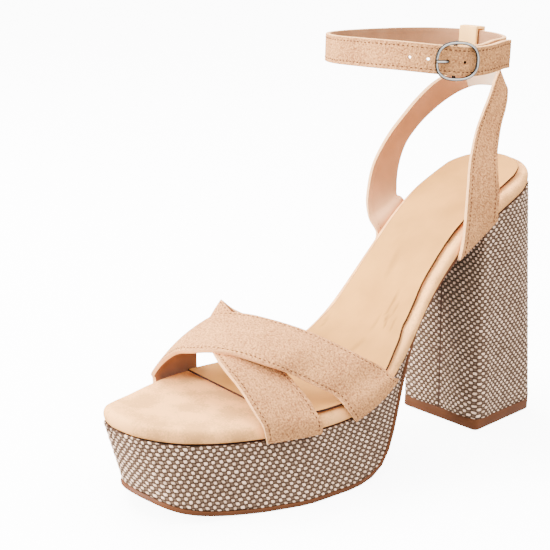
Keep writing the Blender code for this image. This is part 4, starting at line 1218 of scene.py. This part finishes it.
def crease_depth(x, y):
    """Depth of the sock's creases at plan points: each is a groove with a low swell along one side."""
    depth = np.zeros_like(x)
    for crease in SOCK_CREASES:
        run_x = crease["x1"] - crease["x0"]
        run_y = crease["y1"] - crease["y0"]
        run = math.hypot(run_x, run_y)
        along = ((x - crease["x0"]) * run_x + (y - crease["y0"]) * run_y) / run
        off = ((y - crease["y0"]) * run_x - (x - crease["x0"]) * run_y) / run
        fade = np.exp(-((along - run / 2.0) / (CREASE_REACH * run)) ** 4)
        half = crease["half"]
        swell = SWELL_HEIGHT * np.exp(-((off - SWELL_OFF * half) / half) ** 2)
        depth += crease["deep"] * fade * (np.exp(-(off / half) ** 2) - swell)
    return depth


def sock_grid():
    """Points of the sock's upper face and, as its cloth coordinates, the way to its nearest edge."""
    first = float(turn_of(SOCK_FRONT_Y))
    after = float(turn_of(SOCK_FRONT_Y + SOCK_DARK_EDGE))
    turns = np.concatenate([[first], np.linspace(after, math.pi, SOCK_STATIONS)])
    sides = []
    for wall, sign in ((footbed_lateral, 1.0), (footbed_medial, -1.0)):
        plan = np.stack([wall(turns), y_of(turns)], axis=1)
        inner = edge_normals(plan) * sign
        inner[-1] = (0.0, -1.0)
        sides.append(plan + inner * (SOCK_INSET + GAP))
    lateral = sides[0]
    lateral[:, 0] += smooth(column(SOCK_REACH, "y"), column(SOCK_REACH, "reach"))(lateral[:, 1])
    for jog in SOCK_JOGS:
        lateral[:, 0] += jog["shift"] * np.exp(-((lateral[:, 1] - jog["y"]) / jog["half"]) ** 2)
    reach = np.concatenate([[0.0, SOCK_DARK_EDGE, 1.2], np.linspace(2.5, 24.0, 15)]) / SOCK_WIDTH
    shares = np.concatenate([reach, 1.0 - reach[::-1]])
    t = shares[None, :, None]
    plan = sides[0][:, None] * (1.0 - t) + sides[1][:, None] * t
    x = plan[:, :, 0]
    y = plan[:, :, 1]
    z = footbed_top(y) + GAP + SOCK_THICKNESS - crease_depth(x, y)
    to_side = np.broadcast_to(np.minimum(shares, 1.0 - shares) * SOCK_WIDTH, x.shape)
    to_front = (y[:, 0] - y[0, 0])[:, None] + 0.01
    uv = np.stack([np.broadcast_to(shares, x.shape), np.minimum(to_side, to_front) * MM], axis=2)
    return np.stack([x, y, z], axis=2)[:, ::-1], uv[:, ::-1]


# ---- Pieces


class SANDAL_OT_soles(bpy.types.Operator):
    """Rubber outsole and top piece with softened edges."""

    bl_idname = "sandal.soles"
    bl_label = "Outsole and top piece"

    def execute(self, context):
        color = context.scene.sandal_leather.sole
        rubber = moulded_rubber("caramel_moulded_rubber", color, darker(color, 0.8))
        for node in ("outsole", "top_piece"):
            obj = copy_node(node, node + "_moulded")
            soften(obj, width=0.3, segments=2, angle=40.0)
            smooth_shade(obj)
            dress(obj, "rubber", rubber)
            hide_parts(node)
        return {"FINISHED"}


class SANDAL_OT_covers(bpy.types.Operator):
    """Woven cloth over the platform and the heel."""

    bl_idname = "sandal.covers"
    bl_label = "Woven covers"

    def execute(self, context):
        cloth = context.scene.sandal_cloth
        weave = basket_weave("slub_basket_weave", cloth.pale, cloth.shade, cloth.ground)
        backing = dark_ground("weave_backing_cloth", cloth.ground)
        for node, lines, lift, seam, samples in (
            ("platform", platform_lines(), PLATFORM_LIFT, 0.0, 3.5),
            ("heel_block", heel_lines(), HEEL_LIFT, HEEL_SEAM, 3.2),
        ):
            low, high = lines
            high = high + np.array((0.0, 0.0, lift))
            obj = woven_cover(node + "_cover", low, high, seam, samples, weave)
            only(obj)
            bpy.ops.object.shade_smooth()
            dress(obj, "woven")
            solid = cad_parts[node]
            solid.data.materials.clear()
            solid.data.materials.append(backing)
        return {"FINISHED"}


class SANDAL_OT_footbed(bpy.types.Operator):
    """Suede-covered footbed and its smooth sock."""

    bl_idname = "sandal.footbed"
    bl_label = "Footbed and sock"

    def execute(self, context):
        leather = context.scene.sandal_leather
        cover = copy_node("insole", "footbed_cover")
        modify(cover, "SUBSURF", levels=1, render_levels=1)
        smooth_shade(cover)
        suede = faux_suede("footbed_faux_suede", leather.footbed, darker(leather.footbed, 0.7),
                           depth=0.1, mottle=2.0)
        dress(cover, "suede", suede)
        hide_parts("insole")
        # The sock gets painted shade along its creases
        face = smooth_synthetic("sock_coated_synthetic", leather.sock, darker(leather.sock, 0.78),
                                painted_crease_shade=True)
        # Painted shade: the dark band round the sock's edge and its rim stand for the shade in the gap along
        # the edge, over the edge's own darker tone
        edge = smooth_synthetic("sock_edge_painted_shade", "3E261A", "2C1A12")
        sock = grid_sheet("sock_cover", *sock_grid(), (face, edge))
        plan = np.array([v.co[:] for v in sock.data.vertices]) / MM - np.array(SHIFT)
        crease = sock.data.attributes.new("crease", "FLOAT", "POINT")
        crease.data.foreach_set("value", crease_depth(plan[:, 0], plan[:, 1]))
        for polygon, reach in face_reach(sock.data, 1):
            polygon.material_index = 1 if reach < SOCK_DARK_EDGE * MM else 0
        thicken(sock, SOCK_THICKNESS, material_offset_rim=1)
        edit(sock, lambda: bpy.ops.mesh.remove_doubles(threshold=0.02 * MM))
        smooth_shade(sock)
        dress(sock, "sock")
        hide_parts("sock_lining")
        return {"FINISHED"}


class SANDAL_OT_vamp(bpy.types.Operator):
    """Crossed vamp straps and their stitching."""

    bl_idname = "sandal.vamp"
    bl_label = "Vamp straps"

    def execute(self, context):
        under_line = strap_line(UNDER_STRAP, UNDER_LATERAL_FOOT, UNDER_MEDIAL_FOOT)
        over_line = strap_line(OVER_STRAP, OVER_LATERAL_FOOT, OVER_MEDIAL_FOOT)
        # The brown lining holds painted shade of the hollow under the straps
        under = strap_piece("vamp_under_strap", under_line, UNDER_BOW, UNDER_WIDTH, "brown")
        over = strap_piece("vamp_over_strap", over_line, OVER_BOW, OVER_WIDTH, "brown")
        dress(under, "suede")
        dress(over, "suede")
        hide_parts("vamp_straps")
        runs = edge_runs(over_line, OVER_BOW, OVER_WIDTH) + edge_runs(under_line, UNDER_BOW, UNDER_WIDTH)
        dress(sew("vamp_stitching", runs), "suede", thread_material())
        return {"FINISHED"}


class SANDAL_OT_sling(bpy.types.Operator):
    """Sling round the back of the foot and its stitching."""

    bl_idname = "sandal.sling"
    bl_label = "Sling"

    def execute(self, context):
        line = strap_line(SLING, SLING_LATERAL_FOOT, SLING_MEDIAL_FOOT, SLING_MEDIAL_DROP)
        sling = strap_piece("sling_band", line, 0.0, SLING_WIDTH, "pale")
        for polygon, way in face_reach(sling.data, 0):
            if polygon.material_index == 1 and BACK_STAY[0] < way / MM < BACK_STAY[1]:
                polygon.material_index = 3
        dress(sling, "suede")
        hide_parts("sling")
        runs = edge_runs(line, 0.0, SLING_WIDTH)
        dress(sew("sling_stitching", runs + inner_runs(runs, STRAP_THICKNESS)), "suede", thread_material())
        return {"FINISHED"}


def punch_hole(strap, hole, height, burnt):
    """Punch one of the ankle strap's holes; from the prong's rearwards their walls are painted dark, as
    painted shade down the holes.
    """
    at = BUCKLE_AT + along_strap(PRONG_HOLE_ALONG + hole * HOLE_PITCH)
    place = strap_point(at)
    out = outward(place, strap_point(at, 1.0))
    radius = PRONG_RADIUS + 0.2 if hole == 0 else HOLE_RADIUS
    bpy.ops.object.select_all(action="DESELECT")
    bpy.ops.mesh.primitive_cylinder_add(
        vertices=24, radius=radius * HOLE_CLOSING * MM, depth=PUNCH_LENGTH * MM,
        location=(Vector((*place, height + float(strap_rise(at)))) + SHIFT) * MM,
        rotation=out.to_track_quat("Z", "Y").to_euler()
    )
    punch = bpy.context.object
    if hole >= 0:
        punch.data.materials.append(burnt)
    modify(strap, "BOOLEAN", operation="DIFFERENCE", solver="EXACT", object=punch, material_mode="TRANSFER")
    bpy.data.objects.remove(punch, do_unlink=True)


class SANDAL_OT_ankle_strap(bpy.types.Operator):
    """Ankle strap with its holes and stitching, and the loop at the back that holds it."""

    bl_idname = "sandal.ankle_strap"
    bl_label = "Ankle strap and loop"

    def execute(self, context):
        shares = across_shares(ANKLE_STRAP_WIDTH)
        grid = ankle_grid(STRAP_STEP, shares)
        strap = strap_band("ankle_strap_band", grid, shares, ANKLE_STRAP_WIDTH, ANKLE_STRAP_THICKNESS,
                           ANKLE_GROOVE, "tan")
        centre = buckle_place()[0]
        # Painted shade: the hole walls are near black for the shade down the holes
        burnt = smooth_synthetic("hole_wall_painted_shade", "2A1A12", "1E120C")
        for hole in HOLES:
            punch_hole(strap, hole, centre.z, burnt)
        smooth_shade(strap, angle=60.0)
        dress(strap, "suede")
        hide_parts("ankle_strap")
        line = context.scene.sandal_stitching.inset / MM / ANKLE_STRAP_WIDTH
        runs = sunk_runs(*ankle_grid(1.0, (line, 1.0 - line))[1:], (0, 1))
        runs += inner_runs(runs, ANKLE_STRAP_THICKNESS)
        dress(sew("ankle_strap_stitching", runs), "suede", thread_material())
        loop = copy_node("back_loop", "back_loop_keeper")
        soften(loop, width=0.5, segments=3, angle=40.0)
        smooth_shade(loop, angle=60.0)
        dress(loop, "suede", smooth_synthetic("pale_loop_synthetic", "FDC478", "F5BA6C"))
        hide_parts("back_loop")
        return {"FINISHED"}


def frame_oval():
    """The buckle frame's wire line: a squarish oval, as ways along and up the strap."""
    oval = []
    for angle in np.linspace(0.0, 2.0 * math.pi, 96, endpoint=False):
        c = math.cos(angle)
        s = math.sin(angle)
        oval.append((FRAME_HALF_WIDTH * math.copysign(abs(c) ** (2.0 / FRAME_POWER), c),
                     FRAME_HALF_HEIGHT * math.copysign(abs(s) ** (2.0 / FRAME_POWER), s)))
    return oval


def bar_route():
    """The bar's line, as ways up and out of the strap: in from the frame's top, down, out to its bottom."""
    upper = [
        (FRAME_HALF_HEIGHT, FRAME_STAND_OFF),
        (FRAME_HALF_HEIGHT, BAR_DEPTH + 1.4),
        (FRAME_HALF_HEIGHT - 0.2, BAR_DEPTH + 0.5),
        (FRAME_HALF_HEIGHT - 1.2, BAR_DEPTH),
    ]
    return upper + [(-v, n) for v, n in reversed(upper)]


def prong_route():
    """The prong's line, as ways along and out of the strap: by the bar, out of its hole, over the frame."""
    over = FRAME_STAND_OFF + FRAME_WIRE_RADIUS + GAP + PRONG_RADIUS
    return (
        (-BAR_RADIUS - GAP - 1.1, BAR_DEPTH),
        (PRONG_HOLE_ALONG + 1.0, BAR_DEPTH),
        (PRONG_HOLE_ALONG + 0.2, BAR_DEPTH + 0.6),
        (PRONG_HOLE_ALONG, BAR_DEPTH + 1.8),
        (PRONG_HOLE_ALONG - 0.1, BAR_DEPTH + 3.6),
        (PRONG_HOLE_ALONG - 0.7, over - 0.6),
        (PRONG_HOLE_ALONG - 1.8, over),
        (-FRAME_HALF_WIDTH - 0.9, over),
    )


class SANDAL_OT_buckle(bpy.types.Operator):
    """Polished buckle frame with its bar, and the prong."""

    bl_idname = "sandal.buckle"
    bl_label = "Buckle"

    def execute(self, context):
        centre, along, up, out = buckle_place()
        centre = centre - up * BUCKLE_SAG
        oval = [centre + along * u + up * v + out * FRAME_STAND_OFF for u, v in frame_oval()]
        ring = wire("buckle_frame_polished", oval, FRAME_WIRE_RADIUS * FRAME_DRAWN, True)
        bar = wire("buckle_bar", [centre + up * v + out * n for v, n in bar_route()], BAR_RADIUS, False)
        nickel = polished_nickel("nickel_plate_painted_reflection", tuple(out))
        ring = joined("buckle_frame_polished", [ring, bar])
        smooth_shade(ring, angle=60.0)
        dress(ring, "metal", nickel)
        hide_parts("buckle_frame")
        knots = np.array([centre + along * u + out * n for u, n in prong_route()])
        run = way_along(knots)
        line = sampled(smooth, run, knots, np.linspace(0.0, run[-1], 48))
        prong = wire("buckle_prong_polished", line, PRONG_RADIUS, False)
        soften(prong, width=0.35, segments=3, angle=60.0)
        smooth_shade(prong, angle=60.0)
        dress(prong, "metal", nickel)
        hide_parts("buckle_prong")
        return {"FINISHED"}


# ---- Stage


def overhead_light(scene):
    """A world that is bright overhead, dim at the horizon and soft from below."""
    world = bpy.data.worlds.new("soft_overhead_light")
    scene.world = world
    world.use_nodes = True
    tree = world.node_tree
    rise = add(tree, "SeparateXYZ", {0: add(tree, "TexCoord").outputs["Generated"]}).outputs[2]
    above = add(tree, "MapRange", {0: rise, 1: 0.12, 2: 0.6, 3: 0.5, 4: 4.6},
                interpolation_type="SMOOTHSTEP")
    below = add(tree, "Math", {0: rise, 1: 0.0}, operation="LESS_THAN")
    bounce = add(tree, "Math", {0: below, 1: FLOOR_BOUNCE}, operation="MULTIPLY")
    light = add(tree, "Math", {0: above, 1: bounce}, operation="ADD")
    background = tree.nodes["Background"]
    background.inputs[0].default_value = WHITE
    tree.links.new(light.outputs[0], background.inputs[1])


def softbox(name, place, size, power):
    """A square area light aimed at the middle of the sandal."""
    bpy.ops.object.light_add(type="AREA", location=place)
    lamp = bpy.context.object
    lamp.name = name
    lamp.data.size = size
    lamp.data.energy = power
    lamp.rotation_euler = (Vector(LIGHT_TARGET) - Vector(place)).to_track_quat("-Z", "Y").to_euler()


def aimed_camera(scene):
    """The camera at its place, turned, raised and rolled by its angles."""
    away = Vector((math.sin(CAMERA_TURN) * math.cos(CAMERA_RISE),
                   -math.cos(CAMERA_TURN) * math.cos(CAMERA_RISE), math.sin(CAMERA_RISE)))
    level = Vector((math.cos(CAMERA_TURN), math.sin(CAMERA_TURN), 0.0))
    above = away.cross(level)
    right = level * math.cos(CAMERA_ROLL) + above * math.sin(CAMERA_ROLL)
    top = above * math.cos(CAMERA_ROLL) - level * math.sin(CAMERA_ROLL)
    bpy.ops.object.camera_add()
    camera = bpy.context.object
    matrix = Matrix((right, top, away)).transposed().to_4x4()
    matrix.translation = (Vector(CAMERA_PLACE) + SHIFT) * MM
    camera.matrix_world = matrix
    camera.data.sensor_width = CAMERA_SENSOR
    camera.data.lens = CAMERA_LENS
    camera.data.shift_x, camera.data.shift_y = CAMERA_SHIFT
    camera.data.clip_start = 0.01
    scene.camera = camera


class SANDAL_OT_stage(bpy.types.Operator):
    """Pale floor and wall, soft lights and camera."""

    bl_idname = "sandal.stage"
    bl_label = "Stage"

    def execute(self, context):
        sweep = studio_sweep("white_studio_floor")
        bpy.ops.object.select_all(action="DESELECT")
        bpy.ops.mesh.primitive_plane_add(size=FLOOR_SIZE, location=(0.0, 0.0, 0.0))
        floor = context.object
        floor.name = "studio_floor"
        floor.data.materials.append(sweep)
        bpy.ops.mesh.primitive_cylinder_add(
            vertices=64, radius=WALL_RADIUS, depth=WALL_HEIGHT, end_fill_type="NOTHING",
            location=(0.0, 0.0, WALL_HEIGHT / 2.0)
        )
        wall = context.object
        wall.name = "studio_wall"
        wall.data.materials.append(sweep)
        wall.visible_shadow = False
        for obj in (floor, wall):
            obj.visible_diffuse = False
            obj.visible_glossy = False
        overhead_light(context.scene)
        softbox("overhead_softbox", place=(-0.63, -0.14, 1.2), size=0.7, power=30.0)
        softbox("toe_softbox", place=(-0.5, -1.2, 0.48), size=0.8, power=72.0)
        aimed_camera(context.scene)
        return {"FINISHED"}


class SANDAL_PT_looks(bpy.types.Panel):
    """The sandal's pieces, sizes and colours."""

    bl_label = "Sandal"
    bl_idname = "SANDAL_PT_looks"
    bl_space_type = "VIEW_3D"
    bl_region_type = "UI"
    bl_category = "Sandal"

    def draw(self, context):
        scene = context.scene
        for group in (scene.sandal_cloth, scene.sandal_leather, scene.sandal_stitching):
            box = self.layout.box()
            for name in group.__annotations__:
                box.prop(group, name)
        for operator in STEPS:
            self.layout.operator(operator.bl_idname)


GROUPS = (
    (SandalStitching, "sandal_stitching"),
    (SandalCloth, "sandal_cloth"),
    (SandalLeather, "sandal_leather"),
)
STEPS = (
    SANDAL_OT_soles,
    SANDAL_OT_covers,
    SANDAL_OT_footbed,
    SANDAL_OT_vamp,
    SANDAL_OT_sling,
    SANDAL_OT_ankle_strap,
    SANDAL_OT_buckle,
    SANDAL_OT_stage,
)


def register():
    """Add the property groups, operators and panel."""
    for group, name in GROUPS:
        bpy.utils.register_class(group)
        setattr(bpy.types.Scene, name, PointerProperty(type=group))
    for operator in STEPS:
        bpy.utils.register_class(operator)
    bpy.utils.register_class(SANDAL_PT_looks)


def unregister():
    """Remove what register added."""
    bpy.utils.unregister_class(SANDAL_PT_looks)
    for operator in reversed(STEPS):
        bpy.utils.unregister_class(operator)
    for group, name in reversed(GROUPS):
        delattr(bpy.types.Scene, name)
        bpy.utils.unregister_class(group)


def main():
    """Build every piece."""
    register()
    bpy.ops.sandal.soles()
    bpy.ops.sandal.covers()
    bpy.ops.sandal.footbed()
    bpy.ops.sandal.vamp()
    bpy.ops.sandal.sling()
    bpy.ops.sandal.ankle_strap()
    bpy.ops.sandal.buckle()
    bpy.ops.sandal.stage()


if __name__ == "__main__":
    main()
